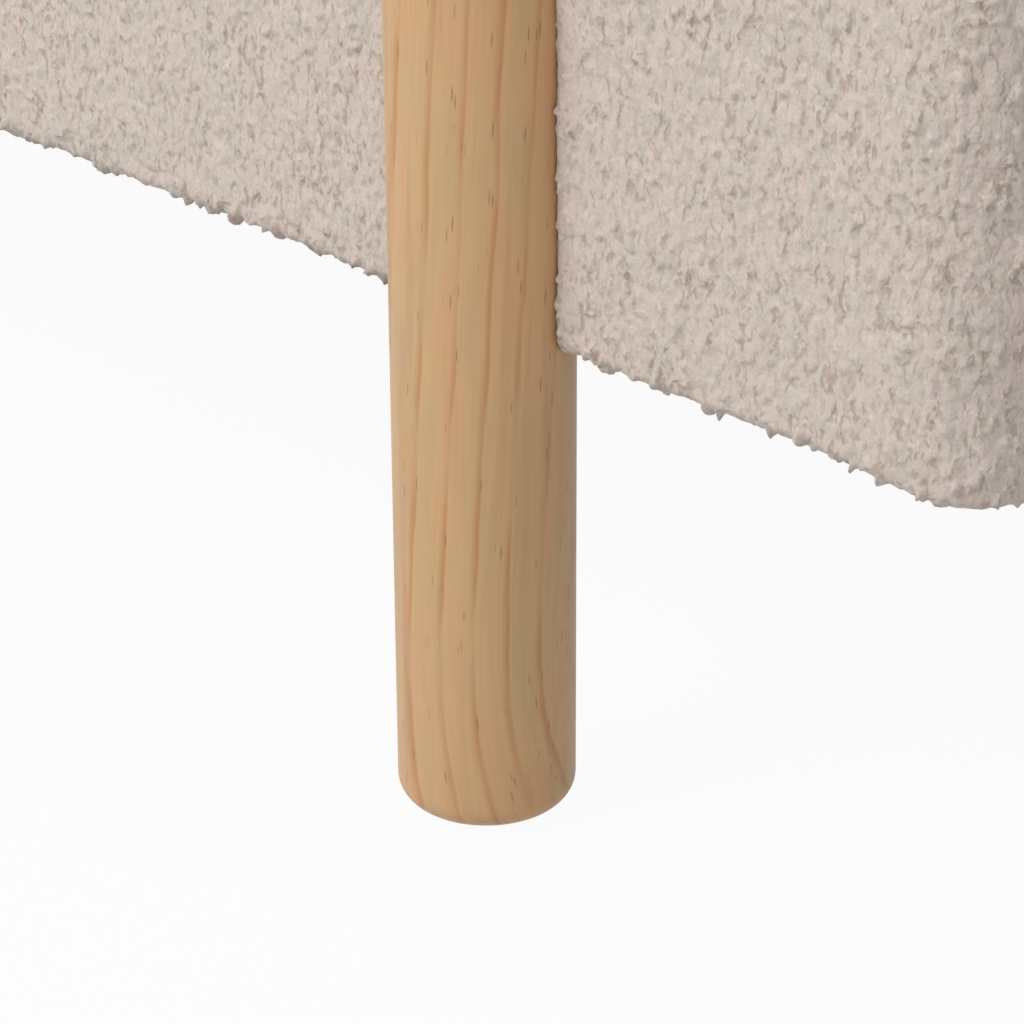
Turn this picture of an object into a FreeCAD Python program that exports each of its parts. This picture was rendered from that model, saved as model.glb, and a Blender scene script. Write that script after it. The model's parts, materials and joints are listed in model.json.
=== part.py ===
import FreeCAD, Part

import math
import os

from FreeCAD import Vector

# Two-seat sofa with round wooden posts let into the corners of its upholstered arms.
# Millimetres. +X is the right-hand side as seen from the front, +Y is the back, +Z is up.
# The origin is on the floor, under the centre of the sofa.

# ---- overall sizes ----
SEAT_WIDTH = 1190.0  # clear width between the arms
ARM_WIDTH = 193.0  # inner face to outer face of an arm
BODY_DEPTH = 830.0  # front fabric face to rear fabric face
FLOOR_GAP = 145.0  # floor to the underside of the upholstery
ARM_HEIGHT = 600.0
BACK_HEIGHT = 780.0
DECK_HEIGHT = 300.0  # top of the sprung seat base, under the cushions

# ---- posts ----
POST_DIAMETER = 50.0
POST_EDGE_RADIUS = 7.5  # rounding at both ends
POST_AXIS_OUT = 4.0  # the post's axis stands this far outside the fabric face
POST_FLAT_DEPTH = 3.0  # depth of the flat where a post meets the arm's stile
POST_ABOVE_ARM = 8.0
POST_BOLT_COUNT = 3
POST_BOLT_EDGE = 62.0  # first and last bolt to the ends of the arm's frame
GLIDE_DIAMETER = 24.0
GLIDE_THICKNESS = 2.0
GLIDE_CHAMFER = 0.6
GLIDE_PIN_DIAMETER = 3.0
GLIDE_PIN_LENGTH = 14.0

# ---- upholstery ----
COVER = 3.0  # thickness of the looped fabric with its backing
FIT = 0.2  # room between one layer and the next
GAP = 0.3  # room between one built-up module and the next
POST_FIT = 0.3  # room round a post in the upholstery
FOAM_INNER = 7.0
FOAM_OUTER = 10.0
FOAM_ARM_TOP = 25.0
FOAM_BACK_FRONT = 25.0
FOAM_BACK_REAR = 5.0
FOAM_BACK_SIDE = 5.0
FOAM_BACK_TOP = 25.0
HEM = 25.0  # width of fabric turned in under each module
ARM_OUTER_RADIUS = 30.0  # vertical outer corners of the arms
ARM_INNER_RADIUS = 5.0
ARM_TOP_RADIUS = 38.0  # long top edges of the arms
ARM_END_TOP_RADIUS = 28.0  # top edges of the arms' front and rear
BOTTOM_RADIUS = 9.0
BACK_TOP_RADIUS = 34.0
BACK_CORNER_RADIUS = 45.0  # top left and right corners of the back
BACK_SIDE_RADIUS = 5.0
FRONT_ROLL_RADIUS = 14.0  # top front edge of the seat base

# ---- back ----
BACK_DEPTH = 140.0  # thickness of the back below the deck
BACK_LEAN = 42.0  # how far the front of the back leans back between deck and top

# ---- timber ----
STILE = 60.0  # square posts inside the arms
OUTER_STILE = 45.0
BOARD = 18.0  # plywood top and bottom of the arms
END_BOARD = 12.0
PANEL = 5.0
RAIL = 25.0  # thickness of the rails of the seat base
DECK_BUILD_UP = 25.0  # springs, pad and cloth above the rails
CENTRE_RAIL_DROP = 20.0  # top of the centre rail below the others, clear of the springs
GABLE = 20.0
CORNER_BLOCK = 85.0
CORNER_BLOCK_HEIGHT = 58.0
REAR_PANEL = 3.0

# ---- springs ----
SPRING_COUNT = 8
SPRING_WIRE = 3.8
SPRING_HALF_BAR = 15.0
SPRING_PITCH = 22.0  # asked for; the real pitch divides the span evenly
SPRING_EDGE = 90.0  # middle of the first and last spring to the arms
TIE_WIRE = 3.0
TIE_COUNT = 2
CLIP_WIDTH = 18.0
CLIP_WALL = 1.0
CLIP_MARGIN = 1.0  # bare rail in front of and behind a clip's foot
DECK_CLOTH = 2.5
DECK_MARGIN = 1.0  # pad and thin cloths end this far inside the base
FRONT_LIP = 75.0  # how far the front cover reaches back over the rail
DUST_CLOTH = 1.5
DUST_MARGIN = 0.5  # between a thin cloth and the hem round it

# ---- webbing of the back ----
WEB_WIDTH = 60.0
WEB_THICKNESS = 2.0
WEB_COUNT = 4
WEB_LOW = 70.0  # deck to the middle of the lowest strap
WEB_HIGH = 110.0  # middle of the highest strap to the top of the back

# ---- bolts ----
BOLT = 8.0
BOLT_THREAD_GAP = 0.1  # on the radius, between a bolt and what it screws into
BOLT_ROOM = 0.5  # on the radius, round a bolt in a plain hole
BOLT_HEAD_RIM = 2.5  # the head's flats stand this far outside the shank
BOLT_HEAD_HEIGHT = 5.5
WASHER_DIAMETER = 20.0
WASHER_THICKNESS = 1.6
INSERT_WALL = 2.0
INSERT_LENGTH = 20.0
TEE_FLANGE_RIM = 5.5  # the flange stands this far outside the barrel
TEE_FLANGE_THICKNESS = 1.5
TEE_BARREL_WALL = 1.5
TEE_BARREL_LENGTH = 10.0
TEE_FLANGE_ROOM = 1.0  # round the flange of a tee nut in its recess
JOIN_LOW = 32.0  # bottom of the frame to the lower side bolts
JOIN_HIGH = 13.0  # top of the rails to the upper side bolts
JOIN_CLEAR = 10.0  # front rail to the side bolts
JOIN_REAR_OUT = 195.0  # arms to the outer pair of rear bolts
JOIN_REAR_IN = 130.0  # centre of the sofa to the inner pair of rear bolts
THREAD_END = 1.0  # a bolt ends this far inside its nut's or insert's last thread
DRILL_EXTRA = 2.0  # depth of a blind hole past what goes into it

# ---- loose cushions ----
CUSHION_SIDE_GAP = 2.0
CUSHION_MIDDLE_GAP = 4.0
SEAT_CUSHION_HEIGHT = 150.0
SEAT_CUSHION_OVERHANG = 5.0  # past the front fabric face
SEAT_CUSHION_REAR_GAP = 2.0
SEAT_CUSHION_CORNER = 32.0
SEAT_CUSHION_EDGE = 30.0
BACK_CUSHION_HEIGHT = 380.0
BACK_CUSHION_THICKNESS = 150.0
BACK_CUSHION_CORNER = 50.0
BACK_CUSHION_EDGE = 55.0
CUSHION_REST = 0.4  # a resting cushion's room above what it lies on

# ---- places worked out from the sizes above ----
BIG = 2000.0  # longer than anything in the sofa, for cutting through
OVER = 1.0  # a cut runs this far past what it cuts
BOLT_HOLE = BOLT + 2 * BOLT_ROOM
BOLT_HEAD_ACROSS = BOLT + 2 * BOLT_HEAD_RIM
INSERT_DIAMETER = BOLT + 2 * INSERT_WALL
TEE_BARREL_DIAMETER = BOLT + 2 * TEE_BARREL_WALL
TEE_FLANGE_DIAMETER = TEE_BARREL_DIAMETER + 2 * TEE_FLANGE_RIM
Y_FRONT = -BODY_DEPTH / 2
Y_REAR = BODY_DEPTH / 2
X_INNER = SEAT_WIDTH / 2
X_OUTER = X_INNER + ARM_WIDTH
POST_RADIUS = POST_DIAMETER / 2
POST_X = X_INNER + POST_RADIUS
POST_Y = BODY_DEPTH / 2 + POST_AXIS_OUT
POST_TOP = ARM_HEIGHT + POST_ABOVE_ARM
FRAME_BOTTOM = FLOOR_GAP + COVER
FOAM_ENDS = POST_RADIUS - POST_FLAT_DEPTH - POST_AXIS_OUT - COVER  # foam beside the posts
FRAME_END = BODY_DEPTH / 2 - COVER - FOAM_ENDS  # front and rear faces of the timber
FRAME_IN_X = X_INNER + COVER + FOAM_INNER
FRAME_OUT_X = X_OUTER - COVER - FOAM_OUTER
FRAME_ARM_TOP = ARM_HEIGHT - COVER - FOAM_ARM_TOP
Y_BACK = Y_REAR - BACK_DEPTH  # front face of the back below the deck
BASE_SIDE_X = X_INNER - GAP
BASE_REAR_Y = Y_BACK - GAP
BACK_RAIL_Y = Y_BACK + COVER + GAP  # front face of the back's low rail
RAIL_TOP = DECK_HEIGHT - DECK_BUILD_UP
GABLE_X = X_INNER - GAP - COVER - FOAM_BACK_SIDE - GABLE  # left face of the right-hand gable
SPRING_Z = RAIL_TOP + CLIP_WALL + SPRING_WIRE / 2 + FIT
TIE_Z = SPRING_Z + SPRING_WIRE / 2 + TIE_WIRE / 2
PAD_LOW = TIE_Z + TIE_WIRE / 2 + FIT
PAD_HIGH = DECK_HEIGHT - max(COVER, DECK_CLOTH + FIT) - FIT
DECK_CLOTH_LOW = PAD_HIGH + FIT
LEAN_ANGLE = math.degrees(math.atan2(BACK_LEAN, BACK_HEIGHT - DECK_HEIGHT))
SEAT_TOP = DECK_HEIGHT + CUSHION_REST + SEAT_CUSHION_HEIGHT


# ---- shapes ----
def box(x0, y0, z0, x1, y1, z1):
    """A box between two corners."""
    return Part.makeBox(x1 - x0, y1 - y0, z1 - z0, Vector(x0, y0, z0))


def rod(radius, start, end):
    """A round bar from one point to another."""
    a, b = Vector(*start), Vector(*end)
    return Part.makeCylinder(radius, (b - a).Length, a, b - a)


def hexagon(across, start, end):
    """A hexagonal bar, given its width across flats."""
    a, b = Vector(*start), Vector(*end)
    axis = (b - a).normalize()
    turn = FreeCAD.Rotation(Vector(0, 0, 1), axis)
    corner = across / math.sqrt(3)
    angles = [math.radians(60 * i) for i in range(7)]
    points = [a + turn.multVec(Vector(corner * math.cos(t), corner * math.sin(t), 0)) for t in angles]
    return Part.Face(Part.makePolygon(points)).extrude(b - a)


def rounded_face(points, radii):
    """A flat face from corner points, each corner rounded by its own radius (0 leaves it sharp)."""
    corners = [Vector(*p) for p in points]
    edges = []
    ends = []
    for i, corner in enumerate(corners):
        before = (corners[i - 1] - corner).normalize()
        after = (corners[(i + 1) % len(corners)] - corner).normalize()
        if radii[i] <= 0:
            ends.append((corner, None, corner))
            continue
        half = before.getAngle(after) / 2
        reach = radii[i] / math.tan(half)
        centre = corner + (before + after).normalize() * (radii[i] / math.sin(half))
        middle = centre + (corner - centre).normalize() * radii[i]
        ends.append((corner + before * reach, middle, corner + after * reach))
    for i, (start, middle, end) in enumerate(ends):
        if middle is not None:
            edges.append(Part.Arc(start, middle, end).toShape())
        following = ends[(i + 1) % len(ends)][0]
        if (following - end).Length > 1e-6:
            edges.append(Part.LineSegment(end, following).toShape())
    return Part.Face(Part.Wire(edges))


def soft_box(low, high, plan, front, side):
    """A box rounded along all its edges, as the part common to three rounded bars.
    plan holds the radii of the four upright edges (front left, front right, rear right, rear left);
    front those seen from the front (bottom left, bottom right, top right, top left);
    side those seen from the right (bottom front, bottom rear, top rear, top front)."""
    x0, y0, z0 = low
    x1, y1, z1 = high
    upright = rounded_face([(x0, y0, z0), (x1, y0, z0), (x1, y1, z0), (x0, y1, z0)], plan)
    along_y = rounded_face([(x0, y0, z0), (x1, y0, z0), (x1, y0, z1), (x0, y0, z1)], front)
    along_x = rounded_face([(x0, y0, z0), (x0, y1, z0), (x0, y1, z1), (x0, y0, z1)], side)
    shape = upright.extrude(Vector(0, 0, z1 - z0))
    shape = shape.common(along_y.extrude(Vector(0, y1 - y0, 0)))
    return shape.common(along_x.extrude(Vector(x1 - x0, 0, 0)))


def mirrored(shape):
    """The same shape on the other side of the sofa."""
    return shape.mirror(Vector(0, 0, 0), Vector(1, 0, 0))


def front_to_rear(shape):
    """The same shape at the rear of the sofa."""
    return shape.mirror(Vector(0, 0, 0), Vector(0, 1, 0))


def four_corners(shape):
    """A shape at the front right, repeated at the other three corners."""
    pair = [shape, front_to_rear(shape)]
    return pair + [mirrored(s) for s in pair]


def cut_all(shape, tools):
    for tool in tools:
        shape = shape.cut(tool)
    return shape


# ---- holes that bolts pass through, on the right-hand side ----
def post_bolt_heights():
    low, high = FRAME_BOTTOM + POST_BOLT_EDGE, FRAME_ARM_TOP - POST_BOLT_EDGE
    return [low + i * (high - low) / (POST_BOLT_COUNT - 1) for i in range(POST_BOLT_COUNT)]


def post_bolt_holes():
    """Clearance holes along Y behind the front right post and the rear right post."""
    deep = -FRAME_END + STILE + OVER
    holes = [rod(BOLT_HOLE / 2, (POST_X, Y_FRONT, z), (POST_X, deep, z)) for z in post_bolt_heights()]
    return holes + [front_to_rear(h) for h in holes]


def side_bolt_places():
    """Where the bolts run along X through the seat base or the back into the right arm."""
    y = FRAME_END - RAIL - JOIN_CLEAR
    return [(side * y, z) for side in (-1, 1) for z in (FRAME_BOTTOM + JOIN_LOW, RAIL_TOP - JOIN_HIGH)]


def side_bolt_holes():
    x0, x1 = min(GABLE_X, BASE_SIDE_X - RAIL) - OVER, FRAME_IN_X + STILE + OVER
    return [rod(BOLT_HOLE / 2, (x0, y, z), (x1, y, z)) for y, z in side_bolt_places()]


def both_side_bolt_holes():
    holes = side_bolt_holes()
    return holes + [mirrored(h) for h in holes]


def rear_bolt_places():
    """Where the bolts run along Y from the seat base into the back."""
    outer = X_INNER - JOIN_REAR_OUT
    z = (FRAME_BOTTOM + RAIL_TOP) / 2
    return [(x, z) for x in (-outer, -JOIN_REAR_IN, JOIN_REAR_IN, outer)]


def rear_bolt_holes():
    """Holes through the rear rail of the seat base and the low rail of the back."""
    y0, y1 = BASE_REAR_Y - RAIL - OVER, BACK_RAIL_Y + RAIL + OVER
    return [rod(BOLT_HOLE / 2, (x, y0, z), (x, y1, z)) for x, z in rear_bolt_places()]


def tee_recess(end, along):
    """Room for a tee nut whose flange's outer face is at end and whose barrel points along a direction."""
    e, d = Vector(*end), Vector(*along)
    deep = e + d * (TEE_FLANGE_THICKNESS + TEE_BARREL_LENGTH)
    barrel = rod(TEE_BARREL_DIAMETER / 2 + BOLT_THREAD_GAP, tuple(e - d * OVER), tuple(deep))
    seat = e + d * TEE_FLANGE_THICKNESS
    return barrel.fuse(rod(TEE_FLANGE_DIAMETER / 2 + TEE_FLANGE_ROOM, tuple(e - d * OVER), tuple(seat)))


# ---- posts ----
def post():
    """The front right post: a round bar with rounded ends, a flat where it meets the arm's stile,
    three blind holes for threaded inserts and a pilot hole for the glide's pin."""
    bar = rod(POST_RADIUS, (POST_X, -POST_Y, GLIDE_THICKNESS), (POST_X, -POST_Y, POST_TOP))
    rims = [e for e in bar.Edges if isinstance(e.Curve, Part.Circle)]
    bar = bar.makeFillet(POST_EDGE_RADIUS, rims)
    flat = box(
        POST_X - POST_RADIUS, -FRAME_END, FRAME_BOTTOM,
        POST_X + POST_RADIUS, -FRAME_END + POST_RADIUS, FRAME_ARM_TOP,
    )
    holes = [
        rod(INSERT_DIAMETER / 2, (POST_X, -FRAME_END - INSERT_LENGTH - DRILL_EXTRA, z), (POST_X, 0, z))
        for z in post_bolt_heights()
    ]
    pilot = rod(
        GLIDE_PIN_DIAMETER / 2 + BOLT_THREAD_GAP,
        (POST_X, -POST_Y, 0), (POST_X, -POST_Y, GLIDE_THICKNESS + GLIDE_PIN_LENGTH + DRILL_EXTRA),
    )
    return cut_all(bar, [flat, pilot] + holes)


def glide():
    """A nail-on glide under the front right post."""
    disc = rod(GLIDE_DIAMETER / 2, (POST_X, -POST_Y, 0), (POST_X, -POST_Y, GLIDE_THICKNESS))
    rims = [e for e in disc.Edges if isinstance(e.Curve, Part.Circle) and e.CenterOfMass.z < GLIDE_CHAMFER]
    disc = disc.makeChamfer(GLIDE_CHAMFER, rims)
    top = GLIDE_THICKNESS + GLIDE_PIN_LENGTH
    pin = rod(GLIDE_PIN_DIAMETER / 2, (POST_X, -POST_Y, GLIDE_THICKNESS / 2), (POST_X, -POST_Y, top))
    return disc.fuse(pin).removeSplitter()


def bolt(start, along, length):
    """A hexagon-head bolt: the head's underside is at start and the shank runs along a direction."""
    s, d = Vector(*start), Vector(*along)
    head_end = s - d * BOLT_HEAD_HEIGHT
    tip = s + d * length
    head = hexagon(BOLT_HEAD_ACROSS, tuple(head_end), tuple(s))
    shank = rod(BOLT / 2 - BOLT_THREAD_GAP, tuple(s - d * OVER), tuple(tip))
    return head.fuse(shank).removeSplitter()


def post_bolts():
    y_head = -FRAME_END + STILE + WASHER_THICKNESS
    length = STILE + WASHER_THICKNESS + INSERT_LENGTH - THREAD_END
    found = []
    for z in post_bolt_heights():
        found += four_corners(bolt((POST_X, y_head, z), (0, -1, 0), length))
    return found


def post_washers():
    y0 = -FRAME_END + STILE
    found = []
    for z in post_bolt_heights():
        disc = rod(WASHER_DIAMETER / 2, (POST_X, y0, z), (POST_X, y0 + WASHER_THICKNESS, z))
        found += four_corners(disc.cut(rod(BOLT_HOLE / 2, (POST_X, y0 - OVER, z), (POST_X, 0, z))))
    return found


def post_inserts():
    y0 = -FRAME_END - INSERT_LENGTH
    found = []
    for z in post_bolt_heights():
        sleeve = rod(INSERT_DIAMETER / 2 - BOLT_THREAD_GAP, (POST_X, y0, z), (POST_X, -FRAME_END, z))
        found += four_corners(sleeve.cut(rod(BOLT / 2, (POST_X, y0 - OVER, z), (POST_X, 0, z))))
    return found


# ---- right arm ----
def arm_body(inset):
    """The outside of the right arm, or that shape moved inwards by inset."""
    outer, inner = ARM_OUTER_RADIUS - inset, max(ARM_INNER_RADIUS - inset, 0)
    top, end_top = ARM_TOP_RADIUS - inset, ARM_END_TOP_RADIUS - inset
    low = max(BOTTOM_RADIUS - inset, 0)
    return soft_box(
        (X_INNER + inset, Y_FRONT + inset, FLOOR_GAP + inset),
        (X_OUTER - inset, Y_REAR - inset, ARM_HEIGHT - inset),
        (inner, outer, outer, inner), (0, low, top, top), (low, low, end_top, end_top),
    )


def post_grooves():
    """Room for the two right-hand posts in the arm's upholstery."""
    groove = rod(POST_RADIUS + POST_FIT, (POST_X, -POST_Y, 0), (POST_X, -POST_Y, BIG))
    return [groove, front_to_rear(groove)]


def arm_hem_opening():
    return box(
        X_INNER + HEM, Y_FRONT + HEM, 0, X_OUTER - HEM, Y_REAR - HEM, FRAME_BOTTOM + OVER,
    )


def arm_cover():
    shell = arm_body(0).cut(arm_body(COVER))
    return cut_all(shell, [arm_hem_opening()] + post_grooves() + side_bolt_holes())


def arm_foam():
    timber = box(
        FRAME_IN_X - FIT, -FRAME_END - FIT, 0, FRAME_OUT_X + FIT, FRAME_END + FIT, FRAME_ARM_TOP + FIT,
    )
    return cut_all(arm_body(COVER + FIT).cut(timber), post_grooves() + side_bolt_holes())


def arm_board(z0, z1):
    return box(FRAME_IN_X, -FRAME_END, z0, FRAME_OUT_X, FRAME_END, z1)


def arm_inner_stile():
    """The stile that the front right post is bolted to, with its holes."""
    stile = box(
        FRAME_IN_X, -FRAME_END, FRAME_BOTTOM + BOARD,
        FRAME_IN_X + STILE, -FRAME_END + STILE, FRAME_ARM_TOP - BOARD,
    )
    tees = [tee_recess((FRAME_IN_X + STILE, y, z), (-1, 0, 0)) for y, z in side_bolt_places()]
    return cut_all(stile, post_bolt_holes() + side_bolt_holes() + tees)


def arm_outer_stiles():
    stile = box(
        FRAME_OUT_X - PANEL - OUTER_STILE, -FRAME_END, FRAME_BOTTOM + BOARD,
        FRAME_OUT_X - PANEL, -FRAME_END + OUTER_STILE, FRAME_ARM_TOP - BOARD,
    )
    return [stile, front_to_rear(stile)]


def arm_end_boards():
    board = box(
        FRAME_IN_X + STILE, -FRAME_END, FRAME_BOTTOM + BOARD,
        FRAME_OUT_X - PANEL - OUTER_STILE, -FRAME_END + END_BOARD, FRAME_ARM_TOP - BOARD,
    )
    return [board, front_to_rear(board)]


def arm_panels():
    """Thin boards that carry the foam on the arm's outer side and, above the deck, its inner side."""
    outer = box(
        FRAME_OUT_X - PANEL, -FRAME_END, FRAME_BOTTOM + BOARD,
        FRAME_OUT_X, FRAME_END, FRAME_ARM_TOP - BOARD,
    )
    y = FRAME_END - STILE - WASHER_THICKNESS - BOLT_HEAD_HEIGHT - FIT
    inner = box(FRAME_IN_X, -y, DECK_HEIGHT, FRAME_IN_X + PANEL, y, FRAME_ARM_TOP - BOARD)
    return [outer, inner]


# ---- seat base ----
def base_side_rail():
    rail = box(
        BASE_SIDE_X - RAIL, -FRAME_END, FRAME_BOTTOM, BASE_SIDE_X, BASE_REAR_Y - RAIL, RAIL_TOP,
    )
    return cut_all(rail, side_bolt_holes())


def base_front_rail():
    x = BASE_SIDE_X - RAIL
    return box(-x, -FRAME_END, FRAME_BOTTOM, x, -FRAME_END + RAIL, RAIL_TOP)


def base_rear_rail():
    rail = box(
        -BASE_SIDE_X, BASE_REAR_Y - RAIL, FRAME_BOTTOM, BASE_SIDE_X, BASE_REAR_Y, RAIL_TOP,
    )
    return cut_all(rail, rear_bolt_holes())


def base_centre_rail():
    """The middle rail runs under the springs, clear of their wires."""
    top = RAIL_TOP - CENTRE_RAIL_DROP
    return box(-RAIL / 2, -FRAME_END + RAIL, FRAME_BOTTOM, RAIL / 2, BASE_REAR_Y - RAIL, top)


def corner_blocks():
    """Triangular blocks glued and screwed into the four corners of the seat base."""
    found = []
    z0 = (FRAME_BOTTOM + JOIN_LOW + RAIL_TOP - JOIN_HIGH - CORNER_BLOCK_HEIGHT) / 2
    for y, way in ((-FRAME_END + RAIL, 1), (BASE_REAR_Y - RAIL, -1)):
        x = BASE_SIDE_X - RAIL
        points = [Vector(x, y, z0), Vector(x - CORNER_BLOCK, y, z0), Vector(x, y + way * CORNER_BLOCK, z0)]
        face = Part.Face(Part.makePolygon(points + points[:1]))
        block = face.extrude(Vector(0, 0, CORNER_BLOCK_HEIGHT))
        found += [block, mirrored(block)]
    return found


def spring_span():
    """The Y places of a spring's two end bars, over the middle of the front and rear rails."""
    return -FRAME_END + RAIL / 2, BASE_REAR_Y - RAIL / 2


def spring_places():
    """The X places of the springs' middles."""
    first = -X_INNER + SPRING_EDGE
    return [first - 2 * first * i / (SPRING_COUNT - 1) for i in range(SPRING_COUNT)]


def sinuous_spring():
    """One zigzag spring about x = 0: bars along X joined by half circles on alternate sides."""
    y0, y1 = spring_span()
    turns = round((y1 - y0) / SPRING_PITCH)
    pitch = (y1 - y0) / turns
    edges = []
    side = 1
    for i in range(turns + 1):
        y = y0 + i * pitch
        start, end = Vector(-side * SPRING_HALF_BAR, y, SPRING_Z), Vector(side * SPRING_HALF_BAR, y, SPRING_Z)
        edges.append(Part.LineSegment(start, end).toShape())
        if i < turns:
            middle = Vector(side * (SPRING_HALF_BAR + pitch / 2), y + pitch / 2, SPRING_Z)
            edges.append(Part.Arc(end, middle, end + Vector(0, pitch, 0)).toShape())
        side = -side
    path = Part.Wire(edges)
    start = Vector(-SPRING_HALF_BAR, y0, SPRING_Z)
    section = Part.Wire(Part.makeCircle(SPRING_WIRE / 2, start, Vector(1, 0, 0)))
    return path.makePipeShell([section], True, False)


def seat_springs():
    spring = sinuous_spring()
    return [spring.translated(Vector(x, 0, 0)) for x in spring_places()]


def spring_clips():
    """A bent steel clip round each end bar, with a foot nailed to the rail."""
    found = []
    inner, outer = SPRING_WIRE / 2 + FIT, SPRING_WIRE / 2 + FIT + CLIP_WALL
    for y in spring_span():
        for x in spring_places():
            x0, x1 = x - CLIP_WIDTH / 2, x + CLIP_WIDTH / 2
            reach = RAIL / 2 - CLIP_MARGIN
            foot = box(x0, y - reach, RAIL_TOP, x1, y + reach, RAIL_TOP + CLIP_WALL)
            tube = rod(outer, (x0, y, SPRING_Z), (x1, y, SPRING_Z))
            clip = foot.fuse(tube).cut(box(x0 - OVER, y - reach, 0, x1 + OVER, y + reach, RAIL_TOP))
            found.append(clip.cut(rod(inner, (x0 - OVER, y, SPRING_Z), (x1 + OVER, y, SPRING_Z))))
    return found


def spring_tie_wires():
    """Wires laid across all the springs."""
    reach = X_INNER - SPRING_EDGE + SPRING_HALF_BAR
    y0, y1 = spring_span()
    places = [y0 + (y1 - y0) * (i + 1) / (TIE_COUNT + 1) for i in range(TIE_COUNT)]
    return [rod(TIE_WIRE / 2, (-reach, y, TIE_Z), (reach, y, TIE_Z)) for y in places]


def spring_pad():
    x, y0, y1 = BASE_SIDE_X - DECK_MARGIN, -FRAME_END + RAIL + SPRING_WIRE, BASE_REAR_Y - DECK_MARGIN
    return box(-x, y0, PAD_LOW, x, y1, PAD_HIGH)


def deck_cloth():
    y0 = Y_FRONT + FRONT_LIP + FIT
    return box(-BASE_SIDE_X, y0, DECK_CLOTH_LOW, BASE_SIDE_X, BASE_REAR_Y, DECK_CLOTH_LOW + DECK_CLOTH)


def base_front_profile(inset, rear):
    """A bar along X with the rounded front of the seat base, moved inwards by inset."""
    x, y0 = BASE_SIDE_X, Y_FRONT + inset
    z0, z1 = FLOOR_GAP + inset, DECK_HEIGHT - inset
    roll, low = FRONT_ROLL_RADIUS - inset, BOTTOM_RADIUS - inset
    points = [(-x, y0, z0), (-x, rear, z0), (-x, rear, z1), (-x, y0, z1)]
    return rounded_face(points, (low, 0, 0, roll)).extrude(Vector(2 * x, 0, 0))


def base_front_cover():
    """Fabric over the front rail: a lip over its top, the front, and a hem turned in underneath."""
    rear = Y_FRONT + FRONT_LIP
    shell = base_front_profile(0, rear).cut(base_front_profile(COVER, rear + OVER))
    return shell.cut(box(-BIG, Y_FRONT + HEM, 0, BIG, BIG, FRAME_BOTTOM + OVER))


def base_front_foam():
    """Foam on the face of the front rail, rolled over its top edge ahead of the spring pad."""
    y1 = -FRAME_END + RAIL + SPRING_WIRE - FIT
    foam = base_front_profile(COVER + FIT, y1)
    return foam.cut(box(-BIG, -FRAME_END - FIT, 0, BIG, BIG, PAD_LOW))


def dust_cloths():
    """Thin black cloth under the seat base, the arms and the back, inside their hems."""
    z0, z1 = FRAME_BOTTOM - DUST_CLOTH - FIT, FRAME_BOTTOM - FIT
    edge = HEM + DUST_MARGIN
    x = BASE_SIDE_X - DECK_MARGIN
    base = box(-x, Y_FRONT + edge, z0, x, BASE_REAR_Y - DECK_MARGIN, z1)
    arm = box(X_INNER + edge, Y_FRONT + edge, z0, X_OUTER - edge, Y_REAR - edge, z1)
    arm = cut_all(arm, post_grooves())
    back = box(-X_INNER + edge, Y_BACK + edge, z0, X_INNER - edge, Y_REAR - edge, z1)
    return [base, arm, mirrored(arm), back]


# ---- back ----
def back_outline(front, rear, low, top):
    """Corner points of the back seen from the side, with its faces moved inwards."""
    lean = BACK_LEAN / (BACK_HEIGHT - DECK_HEIGHT)
    y_top = Y_BACK + front + BACK_LEAN - lean * top
    return [
        (0, Y_BACK + front, FLOOR_GAP + low), (0, Y_REAR - rear, FLOOR_GAP + low),
        (0, Y_REAR - rear, BACK_HEIGHT - top), (0, y_top, BACK_HEIGHT - top),
        (0, Y_BACK + front, DECK_HEIGHT),
    ]


def back_body(inset):
    """The outside of the back, or that shape moved inwards by inset."""
    x = X_INNER - GAP - inset
    radius, corner = BACK_TOP_RADIUS - inset, BACK_CORNER_RADIUS - inset
    low, side = BOTTOM_RADIUS - inset, max(BACK_SIDE_RADIUS - inset, 0)
    outline = back_outline(inset, inset, inset, inset)
    profile = rounded_face(outline, (0, low, radius, radius, 0)).extrude(Vector(2 * x, 0, 0))
    profile.translate(Vector(-x, 0, 0))
    y0, y1 = Y_BACK + inset, Y_REAR - inset
    z0, z1 = FLOOR_GAP + inset, BACK_HEIGHT - inset
    seen = rounded_face([(-x, y0, z0), (x, y0, z0), (x, y0, z1), (-x, y0, z1)], (0, 0, corner, corner))
    plan = rounded_face([(-x, y0, z0), (x, y0, z0), (x, y1, z0), (-x, y1, z0)], (0, 0, side, side))
    shape = profile.common(seen.extrude(Vector(0, y1 - y0, 0)))
    return shape.common(plan.extrude(Vector(0, 0, z1 - z0)))


def back_cover():
    shell = back_body(0).cut(back_body(COVER))
    hem = box(-X_INNER + HEM, Y_BACK + HEM, 0, X_INNER - HEM, Y_REAR - HEM, FRAME_BOTTOM + OVER)
    return cut_all(shell, [hem] + both_side_bolt_holes() + rear_bolt_holes())


def back_gable_outline():
    """Side profile of a gable, stepped forwards below the deck to meet the low rail of the back."""
    front, rear = COVER + FOAM_BACK_FRONT + WEB_THICKNESS + FIT, COVER + FOAM_BACK_REAR + REAR_PANEL
    points = back_outline(front, rear, COVER, COVER + FOAM_BACK_TOP)
    return [(0, BACK_RAIL_Y, FRAME_BOTTOM)] + points[1:] + [(0, BACK_RAIL_Y, DECK_HEIGHT)]


def back_gable(x0):
    """An upright plywood profile whose left face is at x0."""
    points = [Vector(x0, y, z) for x, y, z in back_gable_outline()]
    gable = Part.Face(Part.makePolygon(points + points[:1])).extrude(Vector(GABLE, 0, 0))
    return cut_all(gable, both_side_bolt_holes())


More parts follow.
